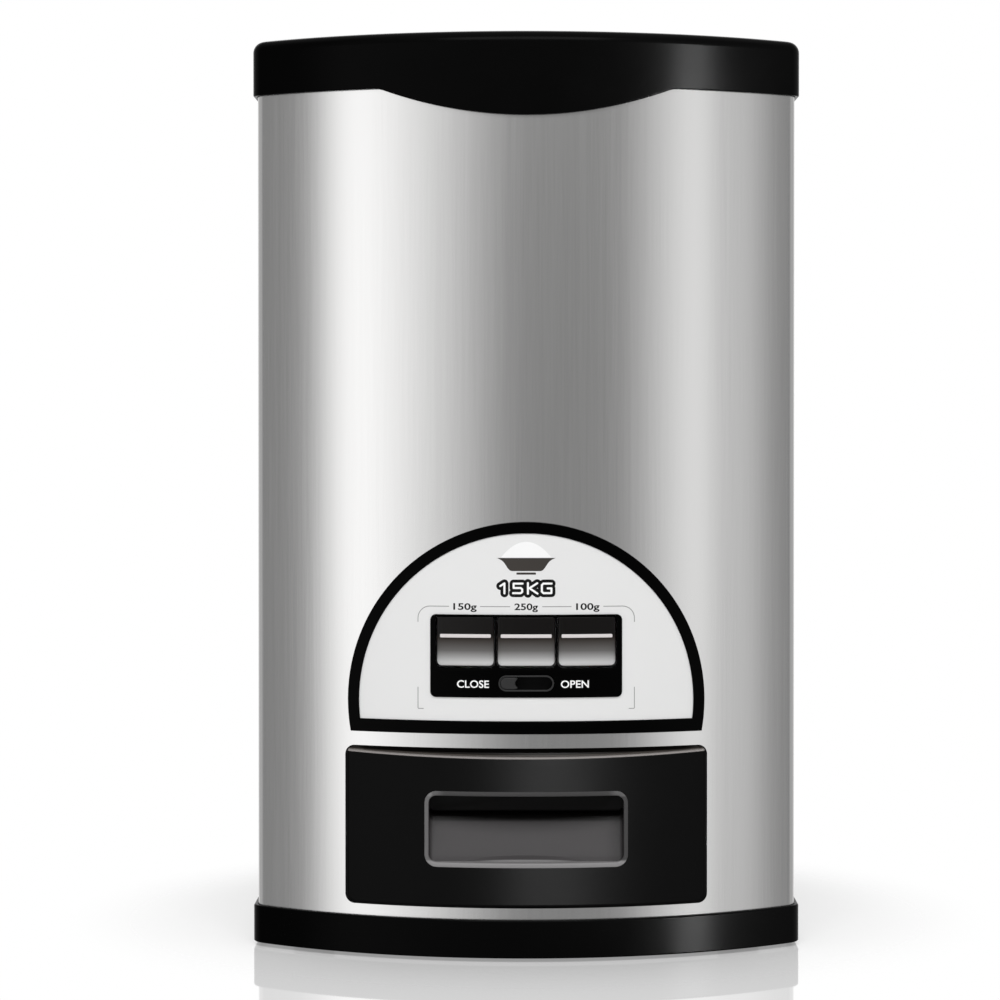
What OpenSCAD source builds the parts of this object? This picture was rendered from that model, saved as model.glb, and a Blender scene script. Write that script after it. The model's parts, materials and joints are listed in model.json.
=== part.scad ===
// Gravity bulk food bin: a bow-fronted steel bin with a hinged lid, three portion keys,
// a shut-off slide and a drawer that catches what falls. Front is -Y, up is +Z, millimetres.

/* [Body] */
// Width of the steel wrap
body_w = 290; // [284:1:304]
// Depth of the steel wrap, bowed front included
body_d = 320; // [306:1:340]
// Height of the whole bin, feet included
body_h = 488; // [470:1:520]
// How far the front bows out at its middle
bow = 50; // [46:1:54]
// Radius of the front corners, seen from above
front_r = 10; // [9:0.5:13]
// Radius of the back corners, seen from above
back_r = 12; // [10:0.5:18]
// Thickness of the steel sheet
skin = 1; // [0.8:0.1:1.2]
// How far the lid and the base stand out past the steel
overhang = 2.5; // [2.2:0.1:3.2]
// Wall of the inner mouldings
wall = 2; // [1.6:0.1:2.4]

/* [Base] */
// How far the rubber feet lift the base
foot_h = 2; // [1.5:0.5:4]
// Radius of a rubber foot
foot_r = 11; // [8:0.5:13]
// Height of the base skirt
base_h = 20; // [17:0.5:22]
// Thickness of the base floor
floor_t = 3; // [2.5:0.5:4]

/* [Lid] */
// Height of the lid skirt
lid_h = 29.5; // [28:0.5:33]
// Radius along the lid's top edge
lid_edge = 6; // [4:0.5:7]
// Width of the finger lip on the lid's front
lip_w = 155; // [130:1:170]
// How far the finger lip hangs below the skirt
lip_drop = 14.8; // [10:0.1:18]
// Thickness of the lid's top
lid_t = 2.5; // [2:0.1:3]
// Radius of the hinge barrel
barrel_r = 8; // [7:0.1:8.4]
// Radius of a hinge pin
pin_r = 2; // [1.5:0.1:2.5]
// Length of a hinge pin
pin_len = 36; // [32:1:44]
// Distance of a hinge knuckle from the middle
knuckle_x = 80; // [60:1:96]
// Width of a hinge knuckle
knuckle_w = 20; // [16:1:24]

/* [Half-moon panel] */
// Radius of the half-moon
moon_r = 94.5; // [92:0.5:96]
// Height of the half-moon
moon_h = 111.3; // [108:0.1:112]
// Height of the half-moon's lower edge above the floor
moon_z = 119.5; // [119:0.1:122]
// Width of the black border
border = 5.9; // [5:0.1:7]
// Width of the black border along its lower edge
border_low = 6.6; // [5.5:0.1:7]

/* [Keys] */
// Width of the black console round the keys
console_w = 100.8; // [100:0.1:108]
// Height of the black console
console_h = 43.5; // [43:0.1:46]
// Top of the console above the floor
console_top = 182.2; // [181.9:0.1:184]
// Width of a key
key_w = 30; // [27:0.1:31]
// Height of a key
key_h = 25.6; // [24:0.1:26]
// Top of the keys above the floor
key_top = 180.9; // [180:0.1:181.2]
// Distance from key to key
key_pitch = 31.9; // [31.5:0.1:33]
// Gap round a key
key_gap = 0.6; // [0.4:0.05:0.8]
// Depth of a key, front to back
key_d = 8; // [7:0.5:9]
// Radius of the lever axle
axle_r = 3; // [2.5:0.1:3.4]
// Length of a lever from its axle to its finger
lever_len = 46.7; // [44:0.1:48]
// Thickness of a lever
lever_t = 6; // [5:0.5:8]

/* [Shut-off slide] */
// Length of the slot for the knob
slot_w = 29.4; // [28:0.1:31]
// Height of the slot
slot_h = 8.7; // [8:0.1:9]
// Height of the slot's middle above the floor
slot_z = 146.2; // [145.8:0.1:146.4]
// Width of the knob
knob_w = 10.2; // [9:0.1:11]
// Travel of the knob from shut to open
shut_travel = 17; // [16:0.1:17.2]
// Thickness of the shut-off plate
shut_t = 2; // [1.5:0.1:2.2]
// Width of a window in the deck
window_w = 15; // [12:0.5:16]

/* [Metering block] */
// Widths of the three chambers: 150, 250 and 100 grams
chamber_w = [34.5, 57.5, 23];
// Depth of the chambers, front to back
chamber_d = 84; // [80:1:88]
// Height of the chambers
chamber_h = 64.7; // [60:0.1:66]
// Travel of a gate
gate_travel = 13; // [12:0.1:13.4]
// Width of a slot in a gate
gate_slot = 12; // [10:0.1:12.2]
// Thickness of a gate
gate_t = 2; // [1.5:0.1:2.4]
// Wire diameter of a return spring
wire = 1; // [0.8:0.1:1.1]
// Outer radius of a return spring
spring_r = 4.2; // [3.8:0.1:5]
// Turns of a return spring
spring_turns = 4; // [3:1:4]

/* [Hopper] */
// Slope of the hopper's back, in degrees
back_slope = 38; // [34:1:40]
// Slope of the hopper's sides, in degrees
side_slope = 42; // [38:1:46]
// Slope of the hopper's front, in degrees
front_slope = 45; // [44:1:48]
// Gap between the hopper and the steel
hopper_gap = 3; // [2.5:0.1:3.6]

/* [Drawer] */
// How far the drawer opening in the steel stands out past the bin, on each side
drawer_side = 10; // [8:0.5:11]
// Height of the drawer opening
drawer_h = 84; // [82:0.5:84.5]
// Bottom of the drawer opening above the floor
drawer_z = 28; // [27:0.5:28.5]
// Radius of the drawer opening's corners
drawer_r = 5; // [4:0.5:7]
// How far the ledge on top of the drawer front falls
ledge_drop = 5.3; // [4:0.1:6.5]
// Width of the handle recess
grip_w = 103.4; // [90:0.1:110]
// Height of the handle recess
grip_h = 37.7; // [34:0.1:40]
// Length of the drawer bin
bin_len = 170; // [150:1:186]
// Width of the drawer bin
bin_w = 172; // [160:1:174]
// Height of the drawer bin
bin_h = 66; // [60:1:69]

/* [Hidden] */
$fn = 96;

black = "#141414";
steel = "#b9bbbd";
zinc = "#9da3a6";
pale = "#e2e2e0";
milk = "#e9e7df";
grey_key = "#8d8784";
dark_grey = "#3b393a";

gap = 0.3;           // between pieces that slide or turn past each other
snug = 0.15;         // between pieces that only fit together
over = 1;            // how far a cut runs past what it cuts
far = 700;           // longer than anything here

// the bow: a circle through both front corners of the steel
bow_r = (pow(body_w / 2, 2) + bow * bow) / (2 * bow);
bow_y = bow_r - body_d / 2;
back_y = body_d / 2;
function bow_at(x, d = 0) = bow_y - sqrt(pow(bow_r - d, 2) - x * x);

// heights of the base
floor_z = foot_h + 4;
floor_top = floor_z + floor_t;
base_top = foot_h + base_h;
groove = skin + gap;             // the steel stands in this groove

// heights and places of the lid, the rim and the hinge
lid_z = body_h - lid_h;
rim_z = lid_z + 6.5;             // the rim sits on the steel's top edge here
rim_t = 3;
liner_t = 2;
liner_z = body_h - lid_t - liner_t - 2.5;
seal_h = 2.8;
seal_z = liner_z - seal_h;
upstand_z = seal_z - 0.2;
mouth_in = 7;                    // inset of the filling mouth
hinge_y = back_y + overhang - barrel_r - 0.5;
hinge_z = body_h - barrel_r;
block_top = hinge_z - barrel_r - 0.5;
lid_back = hinge_y - barrel_r - 3.5;
mouth_back = lid_back - 8.5;
knuckle_r = barrel_r - 0.5;
notch_y = hinge_y - barrel_r - 1.5;

// the half-moon panel stands in the steel from these insets of the bow
panel_proud = 1.6;
panel_in = 3;
spigot = 2.7;                    // how much smaller the panel's back is than its face
moon_mid = moon_z + moon_h - moon_r;

// keys and levers
key_z = key_top - key_h;
key_mid_z = (key_top + key_z) / 2;
axle_y = -body_d / 2 + 18;
axle_z = key_top + 7.1;
hub_r = axle_r + 2;
finger_r = 3;
finger_y = axle_y + 4;
finger_z = axle_z - lever_len;
function key_x(i) = (i - 1) * key_pitch;

// the metering block, front to back and upwards
web_t = 2.5;
web_y = finger_y + finger_r + gap;
spring_room = 5;                 // what is left for the spring when a key is pressed
block_y = web_y + web_t + gate_travel + spring_room;
block_back = block_y + chamber_d + 2 * wall;
cell_y = block_y + wall;
cell_mid = cell_y + chamber_d / 2;
slot_pitch = 2 * gate_travel;
deck_z = drawer_z + drawer_h + 1;
deck_t = 3;
deck_top = deck_z + deck_t;
shut_z = deck_top + gap;
lip_z = shut_z + shut_t + 0.7;
lip_t = 1.7;
gate_low = lip_z + lip_t + gap;
cell_floor = gate_low + gate_t + gap;
cell_z = cell_floor + wall;
cell_top = cell_z + chamber_h;
gate_high = cell_top + wall + gap;
block_top_z = gate_high + gate_t + gap;
cells_w = chamber_w[0] + chamber_w[1] + chamber_w[2] + 4 * wall;
block_x = cells_w / 2;
function cell_x(i) = -block_x + wall + (i > 0 ? chamber_w[0] + wall : 0) + (i > 1 ? chamber_w[1] + wall : 0);
function cell_end(i) = cell_x(i) + chamber_w[i];
cheek_t = 4;                     // the cheeks beside the block, which hold the axle
foot_x = block_x + cheek_t + 4.5;
foot_y = [block_y - 8, block_back + 8];

// where one gate's front web ends and the next begins
web_clear = lever_t / 2 + 3;
function web_split(i) = max(key_x(i - 1) + web_clear, min(cell_x(i) - wall / 2, key_x(i) - web_clear));
function web_x(i) = i == 0 ? cell_x(0) + gap : web_split(i) + gap;
function web_end(i) = i == 2 ? cell_end(2) - gap : web_split(i + 1) - gap;
plate_y = block_y - spring_room + 1.2;

// the shut-off windows
window_pitch = 2 * shut_travel;
window_x = [for (k = [-1.5:1:1.5]) k * window_pitch];
knob_x = -shut_travel / 2;
carriage_y = axle_y - 8.5;
shield_y = bow_at(0) + 4.5;

// the hopper's funnel
hopper_in = skin + hopper_gap;
funnel_z = block_top_z + 2.5;
hopper_top = rim_z;

// side frames, rails and drawer
drawer_w = bin_w + 2 * drawer_side;
frame_x = drawer_w / 2 + 2;
frame_t = 3;
frame_y = [-118, back_y - 20];
flange_w = 12;
flange_x = frame_x + frame_t + flange_w / 2;
flange_y = [frame_y[0] + 48, frame_y[1] - 45];
front_gap = 0.5;                 // between the drawer front and the steel
front_proud = 1.5;
front_t = 3;
front_back_y = bow_at(drawer_w / 2) + 10;
front_w = drawer_w - 2 * front_gap;
front_h = drawer_h - 2 * front_gap;
front_mid = drawer_z + drawer_h / 2;
front_top = front_mid + front_h / 2;
ledge_y = bow_at(front_w / 2, -front_proud);
grip_z = front_mid - grip_h / 2 - 0.6;
bin_z = drawer_z + 6;
bin_flange_t = 2.5;
bin_y = front_back_y + bin_flange_t;
runner_z = bin_z + 26;
runner_t = 3;
rail_t = 2.5;
rail_x = frame_x - rail_t;
rail_y = [bin_y + 4, bin_y + bin_len + 16];

// screws: shank, head, and the holes that take them
shank_r = 1.5;
hole_r = 1.6;
head_r = 3.1;
head_h = 2;
module screw(len) {
    translate([0, 0, -len]) cylinder(r = shank_r, h = len);
    difference() {
        cylinder(r = head_r, h = head_h);
        translate([0, 0, head_h - 1.2]) cylinder(r = 1.4, h = 2, $fn = 6);
    }
}

// ---- shapes that repeat ----

// plan of the bin, set in by d
module outline(d = 0) {
    side = body_w / 2 - d;
    front_x = body_w / 2 - front_r;
    front_y = bow_y - sqrt(pow(bow_r - front_r, 2) - front_x * front_x);
    tangent_x = front_x * (bow_r - d) / (bow_r - front_r);
    back_x = body_w / 2 - back_r;
    back_mid = body_d / 2 - back_r;
    intersection() {
        translate([0, bow_y]) circle(bow_r - d);
        translate([-tangent_x, -body_d]) square([2 * tangent_x, body_d + front_y]);
    }
    translate([-side, front_y]) square([2 * side, back_mid - front_y]);
    translate([-back_x, back_mid]) square([2 * back_x, back_r - d]);
    for (s = [-1, 1]) {
        translate([s * front_x, front_y]) circle(front_r - d);
        translate([s * back_x, back_mid]) circle(back_r - d);
    }
}
module slab(z0, z1, d = 0) {
    translate([0, 0, z0]) linear_extrude(z1 - z0) outline(d);
}
module ring(z0, z1, outer, inner) {
    translate([0, 0, z0]) linear_extrude(z1 - z0) difference() {
        outline(outer);
        outline(inner);
    }
}
// everything in front of y, or behind it
module ahead_of(y) {
    translate([-far / 2, y - far, -over]) cube([far, far, far]);
}
module behind(y) {
    translate([-far / 2, y, -over]) cube([far, far, far]);
}
// an (x, z) profile run from y0 to y1, and a (y, z) profile run from x0 to x1
module along_y(y0, y1) {
    translate([0, y1, 0]) rotate([90, 0, 0]) linear_extrude(y1 - y0) children();
}
module along_x(x0, x1) {
    translate([x0, 0, 0]) rotate([90, 0, 90]) linear_extrude(x1 - x0) children();
}
// the part of the bow between two insets
module bow_band(outer, inner, z0, z1) {
    difference() {
        translate([0, bow_y, z0]) cylinder(r = bow_r - outer, h = z1 - z0, $fn = 256);
        translate([0, bow_y, z0 - over]) cylinder(r = bow_r - inner, h = z1 - z0 + 2 * over, $fn = 256);
    }
}
// a front profile cut out of the bow between two insets
module front_piece(outer, inner, z0, z1) {
    intersection() {
        bow_band(outer, inner, z0, z1);
        along_y(-body_d, bow_at(body_w / 2)) children();
    }
}
module round_rect(w, h, r) {
    square([w - 2 * r, h], center = true);
    square([w, h - 2 * r], center = true);
    for (x = [-1, 1], y = [-1, 1]) translate([x * (w / 2 - r), y * (h / 2 - r)]) circle(r);
}
module half_moon(side, low) {
    intersection() {
        translate([0, moon_mid]) circle(moon_r - side, $fn = 200);
        translate([-far / 2, moon_z + low]) square(far);
    }
}
module console_shape(grow) {
    translate([0, console_top - console_h / 2]) round_rect(console_w + 2 * grow, console_h + 2 * grow, 3);
}
module slot_shape(shrink) {
    translate([0, slot_z]) round_rect(slot_w - 2 * shrink, slot_h - 2 * shrink, slot_h / 2 - shrink - 0.01);
}
module drawer_shape(w, h) {
    translate([0, front_mid]) round_rect(w, h, drawer_r);
}

// ---- base and feet ----

module base_tray() {
    color(black) difference() {
        union() {
            ring(foot_h, base_top, -overhang, -gap);
            slab(floor_z, floor_top, -overhang + 0.5);
            intersection() {
                ring(floor_top, base_top, groove, groove + wall);
                ahead_of(back_y - 12);
            }
        }
        for (s = [-1, 1], y = flange_y) translate([s * flange_x, y, 0]) cylinder(r = hole_r, h = base_top);
    }
}
foot_in = 30;
foot_front = 26;
module foot(side, back) {
    x = body_w / 2 - foot_in;
    color("#222222") translate([side * x, back ? back_y - foot_in : bow_at(x) + foot_front, 0])
        cylinder(r = foot_r, h = floor_z);
}
module base_screws() {
    color(zinc) for (s = [-1, 1], y = flange_y) translate([s * flange_x, y, floor_z]) rotate([180, 0, 0]) screw(9);
}

// ---- steel wrap and back ----

panel_x = body_w / 2 - back_r;
flap_x = panel_x - 8;
back_screw_x = panel_x - 4;
back_screw_low = 40;
back_screw_top = 50;
back_screw_z = [for (k = [0:3]) back_screw_low + k * (rim_z - back_screw_low - back_screw_top) / 3];
back_panel_t = 1.2;
back_panel_y = back_y - skin - back_panel_t - 0.1;

module steel_shell() {
    color(steel) difference() {
        ring(floor_top, rim_z, 0, skin);
        translate([-flap_x, 0, 0]) cube([2 * flap_x, body_d, far]);
        along_y(-body_d, 0) half_moon(spigot, spigot);
        along_y(-body_d, 0) drawer_shape(drawer_w, drawer_h);
        back_holes();
    }
}
module back_panel() {
    color(zinc) difference() {
        translate([-panel_x, back_panel_y, floor_top]) cube([2 * panel_x, back_panel_t, rim_z - floor_top]);
        back_holes();
    }
}
module at_back_screws() {
    for (s = [-1, 1], z = back_screw_z) translate([s * back_screw_x, back_y, z]) rotate([-90, 0, 0]) children();
}
module back_holes() {
    at_back_screws() translate([0, 0, -10]) cylinder(r = hole_r, h = 20);
}
module back_screws() {
    color(zinc) at_back_screws() screw(3.3);
}

// ---- frames, rails and deck ----

module side_frame(s) {
    x0 = s > 0 ? frame_x : -frame_x - frame_t;
    x1 = s > 0 ? frame_x + frame_t : -frame_x - frame_t - flange_w;
    len = frame_y[1] - frame_y[0];
    color(dark_grey) difference() {
        union() {
            translate([x0, frame_y[0], floor_top]) cube([frame_t, len, deck_z - floor_top]);
            for (z = [floor_top, deck_z - 3]) translate([x1, frame_y[0], z]) cube([flange_w, len, 3]);
        }
        for (y = flange_y) translate([s * flange_x, y, 0]) cylinder(r = hole_r, h = deck_top);
    }
}
module drawer_rail(s) {
    reach = rail_x - bin_w / 2 - 2;
    len = rail_y[1] - rail_y[0];
    color(zinc) mirror([s > 0 ? 0 : 1, 0, 0]) translate([rail_x, rail_y[0], 0]) {
        translate([0, 0, runner_z - 6]) cube([rail_t, len, 14]);
        translate([-reach, 0, runner_z - gap - rail_t]) cube([reach, len, rail_t]);
        translate([-reach, 0, runner_z + runner_t + 0.5]) cube([reach, len, rail_t]);
        translate([-reach, len - 3, runner_z - gap]) cube([reach, 3, runner_t + 0.8]);
    }
}
module deck() {
    color(dark_grey) difference() {
        intersection() {
            slab(deck_z, deck_top, skin + gap);
            ahead_of(back_panel_y - 1);
        }
        for (x = window_x) translate([x - window_w / 2, cell_y, 0]) cube([window_w, chamber_d, far]);
        for (s = [-1, 1], y = flange_y) translate([s * flange_x, y, 0]) cylinder(r = hole_r, h = far);
        for (s = [-1, 1], y = foot_y) translate([s * foot_x, y, 0]) cylinder(r = hole_r, h = far);
    }
}
module deck_screws() {
    color(zinc) for (s = [-1, 1], y = flange_y) translate([s * flange_x, y, deck_top]) screw(8);
}

// ---- metering block ----

module cell_slots(i, z, h, shift = 0) {
    for (k = [-1:1])
        translate([cell_x(i) + 3, cell_mid + k * slot_pitch + shift - gate_slot / 2, z])
            cube([chamber_w[i] - 6, gate_slot, h]);
}
module metering_housing() {
    depth = block_back - block_y;
    color(milk) difference() {
        union() {
            translate([-block_x, block_y, lip_z]) cube([cells_w, depth, block_top_z - lip_z]);
            for (s = [-1, 1]) cheek(s);
            for (i = [0:2]) translate([spring_x(i), block_y, spring_z]) rotate([90, 0, 0]) cylinder(r = 2.5, h = 4);
        }
        for (i = [0:2]) {
            translate([cell_x(i), cell_y, cell_z]) cube([chamber_w[i], chamber_d, chamber_h]);
            cell_slots(i, cell_floor - over, far);
            // the gates run through here
            translate([cell_x(i), block_y - over, lip_z + lip_t]) cube([chamber_w[i], depth + 2 * over, cell_floor - lip_z - lip_t]);
            translate([cell_x(i), block_y - over, cell_top + wall]) cube([chamber_w[i], depth + 2 * over, far]);
            translate([cell_x(i) + 2.5, block_y - over, lip_z - over]) cube([chamber_w[i] - 5, depth + 2 * over, lip_t + 2 * over]);
        }
        translate([-far / 2, axle_y, axle_z]) rotate([0, 90, 0]) cylinder(r = axle_r + 0.05, h = far);
    }
}
// a cheek beside the block: it stands on two feet and carries one end of the axle
module cheek(s) {
    mirror([s > 0 ? 0 : 1, 0, 0]) difference() {
        union() {
            along_x(block_x, block_x + cheek_t) {
                translate([block_y - 14, lip_z]) square([block_back - block_y + 27, cell_top - lip_z]);
                translate([axle_y, axle_z - 12]) square([block_y - axle_y + wall, 15]);
                translate([axle_y, axle_z]) circle(axle_r + 1.5);
            }
            for (y = foot_y) {
                translate([block_x, y - 5, deck_top]) cube([cheek_t, 10, lip_z - deck_top + 1]);
                translate([block_x + cheek_t, y - 5, deck_top]) cube([9, 10, 3]);
            }
        }
        for (y = foot_y) translate([foot_x, y, 0]) cylinder(r = hole_r, h = far);
    }
}
module housing_screws() {
    color(zinc) for (s = [-1, 1], y = foot_y) translate([s * foot_x, y, deck_top + 3]) screw(6);
}
module lever_axle() {
    len = 2 * (block_x + cheek_t) + 3.6;
    color(steel) translate([-len / 2, axle_y, axle_z]) rotate([0, 90, 0]) difference() {
        cylinder(r = axle_r, h = len);
        for (z = [1, len - 1.8]) translate([0, 0, z]) difference() {
            cylinder(r = axle_r + over, h = 0.8);
            translate([0, 0, -over]) cylinder(r = axle_r - 0.8, h = 3);
        }
    }
}
module axle_clips() {
    len = 2 * (block_x + cheek_t) + 3.6;
    color(zinc) for (x = [-len / 2 + 1.05, len / 2 - 1.75]) translate([x, axle_y, axle_z]) rotate([0, 90, 0])
        difference() {
            cylinder(r = axle_r + 1, h = 0.7);
            translate([0, 0, -over]) cylinder(r = axle_r - 0.75, h = 3);
            translate([axle_r * 0.3, -1.6, -over]) cube([10, 3.2, 3]);
        }
}

// a gate hugs its chamber: one slotted plate above, one below, and a web in front that a lever pushes
module gate(i) {
    x0 = cell_x(i) + gap;
    x1 = cell_end(i) - gap;
    strip_x = max(x0, web_x(i));
    strip_end = min(x1, web_end(i));
    color(pale) difference() {
        union() {
            translate([web_x(i), web_y, gate_low]) cube([web_end(i) - web_x(i), web_t, gate_high + gate_t - gate_low]);
            for (z = [gate_low, gate_high]) {
                translate([strip_x, web_y, z]) cube([strip_end - strip_x, plate_y - web_y + over, gate_t]);
                translate([x0, plate_y, z]) cube([x1 - x0, block_back - plate_y, gate_t]);
            }
        }
        cell_slots(i, gate_high - over, far);
        cell_slots(i, gate_low - over, gate_t + 2 * over, -gate_travel);
    }
}

// return springs, between the block and each gate's web
spring_z = cell_mid_z();
function cell_mid_z() = cell_z + chamber_h / 2;
function spring_x(i) = (max(cell_x(i), web_x(i)) + min(cell_end(i), web_end(i))) / 2;
coil_r = spring_r - wire / 2;
spring_len = gate_travel + spring_room - 2 * snug;
spring_rings = 12;
function coil_point(k) = let (a = k * 360 / spring_rings, run = spring_len - wire)
    [coil_r * cos(a), coil_r * sin(a), wire / 2 + run * k / (spring_turns * spring_rings)];
// the least gap between the turns, measured on the coil's own points
coil_gap = min([for (a = [0:spring_rings], b = [a + spring_rings / 2:spring_turns * spring_rings])
    norm(coil_point(a) - coil_point(b))]) - wire;
echo(coil_gap = coil_gap);
module gate_spring(i) {
    last = spring_turns * spring_rings;
    points = [for (k = [0:last], c = [0:5])
        let (p = coil_point(k), a = k * 360 / spring_rings, t = c * 60, w = wire / 2)
        [p.x + w * cos(t) * cos(a), p.y + w * cos(t) * sin(a), p.z + w * sin(t)]];
    sides = [for (k = [0:last - 1], c = [0:5])
        let (a = k * 6 + c, b = k * 6 + (c + 1) % 6) each [[a, b, a + 6], [b, b + 6, a + 6]]];
    ends = [[for (c = [5:-1:0]) c], [for (c = [0:5]) last * 6 + c]];
    color(zinc) translate([spring_x(i), block_y - snug, spring_z]) rotate([90, 0, 0])
        polyhedron(points, concat(sides, ends));
}

// ---- keys and levers ----

module key_box(i, z0, z1, shrink = 0) {
    translate([key_x(i) - key_w / 2 + shrink, -body_d, z0]) cube([key_w - 2 * shrink, body_d, z1 - z0]);
}
module key(i) {
    chamfer = 1;
    color(grey_key) intersection() {
        difference() {
            translate([0, bow_y, 0]) rotate_extrude($fn = 256) translate([bow_r, 0]) difference() {
                polygon([[-key_d + 1, key_z], [1 - chamfer, key_z], [1, key_z + chamfer], [1, key_z + 4],
                         [0.6, key_top - chamfer], [0.6 - chamfer, key_top], [-key_d + 1, key_top]]);
                // scoop below the ridge
                translate([scoop_out, key_z + scoop_z]) circle(scoop_r);
            }
            translate([key_x(i) - lever_t / 2 - snug, tab_y(i), key_z - over]) cube([lever_t + 2 * snug, far, key_h + 2 * over]);
        }
        key_box(i, key_z - over, key_top + over);
    }
}
function tab_y(i) = bow_at(abs(key_x(i)) + lever_t / 2, 4);
ridge_up = 14.7;
ridge_z = key_z + ridge_up;
ridge_h = 1.9;
scoop_r = 15.4;
scoop_out = 15.2;
scoop_z = 9;
module key_ridge(i) {
    color(pale) intersection() {
        bow_band(-1.3, 0.2 - snug, ridge_z, ridge_z + ridge_h);
        key_box(i, 0, far, 1.6);
    }
}
module key_ridge_seat(i) {
    intersection() {
        bow_band(-3, 0.2, ridge_z - snug, ridge_z + ridge_h + snug);
        key_box(i, 0, far, 1.6 - snug);
    }
}
module key_cap(i) {
    difference() {
        key(i);
        key_ridge_seat(i);
    }
}
module lever(i) {
    color(milk) difference() {
        union() {
            along_x(key_x(i) - lever_t / 2, key_x(i) + lever_t / 2) {
                translate([axle_y, axle_z]) circle(hub_r);
                translate([finger_y, finger_z]) circle(finger_r);
                polygon([[tab_y(i) + snug, key_z + 5], [tab_y(i) + snug, key_top - 2], [axle_y, axle_z + hub_r - 0.5],
                         [axle_y + hub_r - 0.5, axle_z], [finger_y + finger_r - 0.05, finger_z],
                         [finger_y - finger_r + 0.05, finger_z], [axle_y - 1, key_z + 5]]);
            }
            translate([key_x(i) - 6, axle_y, axle_z]) rotate([0, 90, 0]) cylinder(r = hub_r, h = 12);
        }
        translate([-far / 2, axle_y, axle_z]) rotate([0, 90, 0]) cylinder(r = axle_r + 0.05, h = far);
    }
}

// ---- shut-off slide ----

module shutoff_plate() {
    slide_x = window_x[0] - shut_travel - window_w / 2 - 3;
    slide_end = window_x[3] + window_w / 2 + 3;
    stem_w = 6;
    color(dark_grey) {
        difference() {
            union() {
                translate([slide_x, cell_y - 4, shut_z]) cube([slide_end - slide_x, chamber_d + 8, shut_t]);
                translate([knob_x - 8, carriage_y, shut_z]) cube([16, cell_y - carriage_y, shut_t]);
            }
            for (x = window_x) translate([x - shut_travel - window_w / 2, cell_y, 0]) cube([window_w, chamber_d, far]);
        }
        translate([knob_x - 8, carriage_y, shut_z]) cube([16, 2.5, slot_z + 4 - shut_z]);
        translate([knob_x - stem_w / 2, shield_y, slot_z - 2]) cube([stem_w, carriage_y - shield_y, 4]);
        // a shield behind the slot, so that no light shows through it
        translate([knob_x - slot_w / 2 - shut_travel / 2, shield_y, slot_z - 5]) cube([slot_w + shut_travel, 1, 10]);
    }
}
module shutoff_knob() {
    color(dark_grey) along_y(bow_at(0) - 1.7, shield_y)
        translate([knob_x, slot_z]) round_rect(knob_w, slot_h - 2.4, slot_h / 2 - 1.4);
}

// ---- half-moon panel ----

module panel_frame() {
    z1 = moon_z + moon_h + over;
    color(black) difference() {
        union() {
            front_piece(-panel_proud, -snug, moon_z, z1) half_moon(0, 0);
            front_piece(-snug, panel_in, moon_z, z1) half_moon(spigot + snug, spigot + snug);
        }
        front_piece(-9, 1.5 + snug, 0, z1) half_moon(border, border_low);
        along_y(-body_d, 0) half_moon(border + 3, border_low + 3);
    }
}
module fascia() {
    color(pale) difference() {
        front_piece(-0.7, 1.5, moon_z, moon_z + moon_h) half_moon(border + snug, border_low + snug);
        along_y(-body_d, 0) console_shape(-1);
    }
}
module console() {
    color(black) difference() {
        union() {
            front_piece(-1.5, -0.7 - snug, 0, far) console_shape(0);
            front_piece(-0.7 - snug, 0.8, 0, far) console_shape(-1 - snug);
        }
        for (i = [0:2]) translate([key_x(i), 0]) along_y(-body_d, 0) translate([0, key_mid_z - 0.35])
            square([key_w + 2 * key_gap, key_h + 2 * key_gap + 0.7], center = true);
        along_y(-body_d, 0) slot_shape(0);
    }
}
module slot_bezel() {
    color(dark_grey) difference() {
        front_piece(-1.9, 0.6, 0, far) slot_shape(snug);
        along_y(-body_d, 0) slot_shape(0.9);
    }
}

// ---- hopper ----

// side view and front view of the space in the hopper, grown by its wall
module funnel_side(t) {
    rise_front = t / cos(front_slope);
    rise_back = t / cos(back_slope);
    polygon([[cell_y - t, block_top_z - over], [cell_y - t, funnel_z - rise_front + t * tan(front_slope)],
             [cell_y - far, funnel_z - rise_front + far * tan(front_slope)],
             [cell_y - far, 2 * far], [far, 2 * far],
             [far, funnel_z - rise_back + (far - cell_y - chamber_d) * tan(back_slope)],
             [cell_y + chamber_d + t, funnel_z - rise_back + t * tan(back_slope)],
             [cell_y + chamber_d + t, block_top_z - over]]);
}
module funnel_front(t) {
    mouth = block_x - wall;
    rise = t / cos(side_slope);
    low = funnel_z - rise + t * tan(side_slope);
    polygon([[-mouth - t, block_top_z - over], [mouth + t, block_top_z - over], [mouth + t, low],
             [mouth + t + far, low + far * tan(side_slope)], [mouth + t + far, 2 * far],
             [-mouth - t - far, 2 * far], [-mouth - t - far, low + far * tan(side_slope)], [-mouth - t, low]]);
}
module hopper_space(t, top) {
    intersection() {
        slab(block_top_z - (t > 0 ? 0 : over), top, hopper_in + wall - t);
        along_x(-far / 2, far / 2) funnel_side(t);
        along_y(-far / 2, far / 2) funnel_front(t);
    }
}
module hopper() {
    color(milk) difference() {
        hopper_space(wall, hopper_top);
        hopper_space(0, hopper_top + over);
    }
}
rib_t = 3;
rib_y = [cell_y + chamber_d + 50, back_y - 30];
function slope_z(y) = funnel_z - wall / cos(back_slope) + (y - cell_y - chamber_d) * tan(back_slope);
module hopper_rib(s) {
    x = s * (block_x - 12);
    color(milk) along_x(x - rib_t / 2, x + rib_t / 2)
        polygon([[rib_y[0], deck_top], [rib_y[1], deck_top], [rib_y[1], slope_z(rib_y[1])], [rib_y[0], slope_z(rib_y[0])]]);
}

// ---- rim and lid ----

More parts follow.
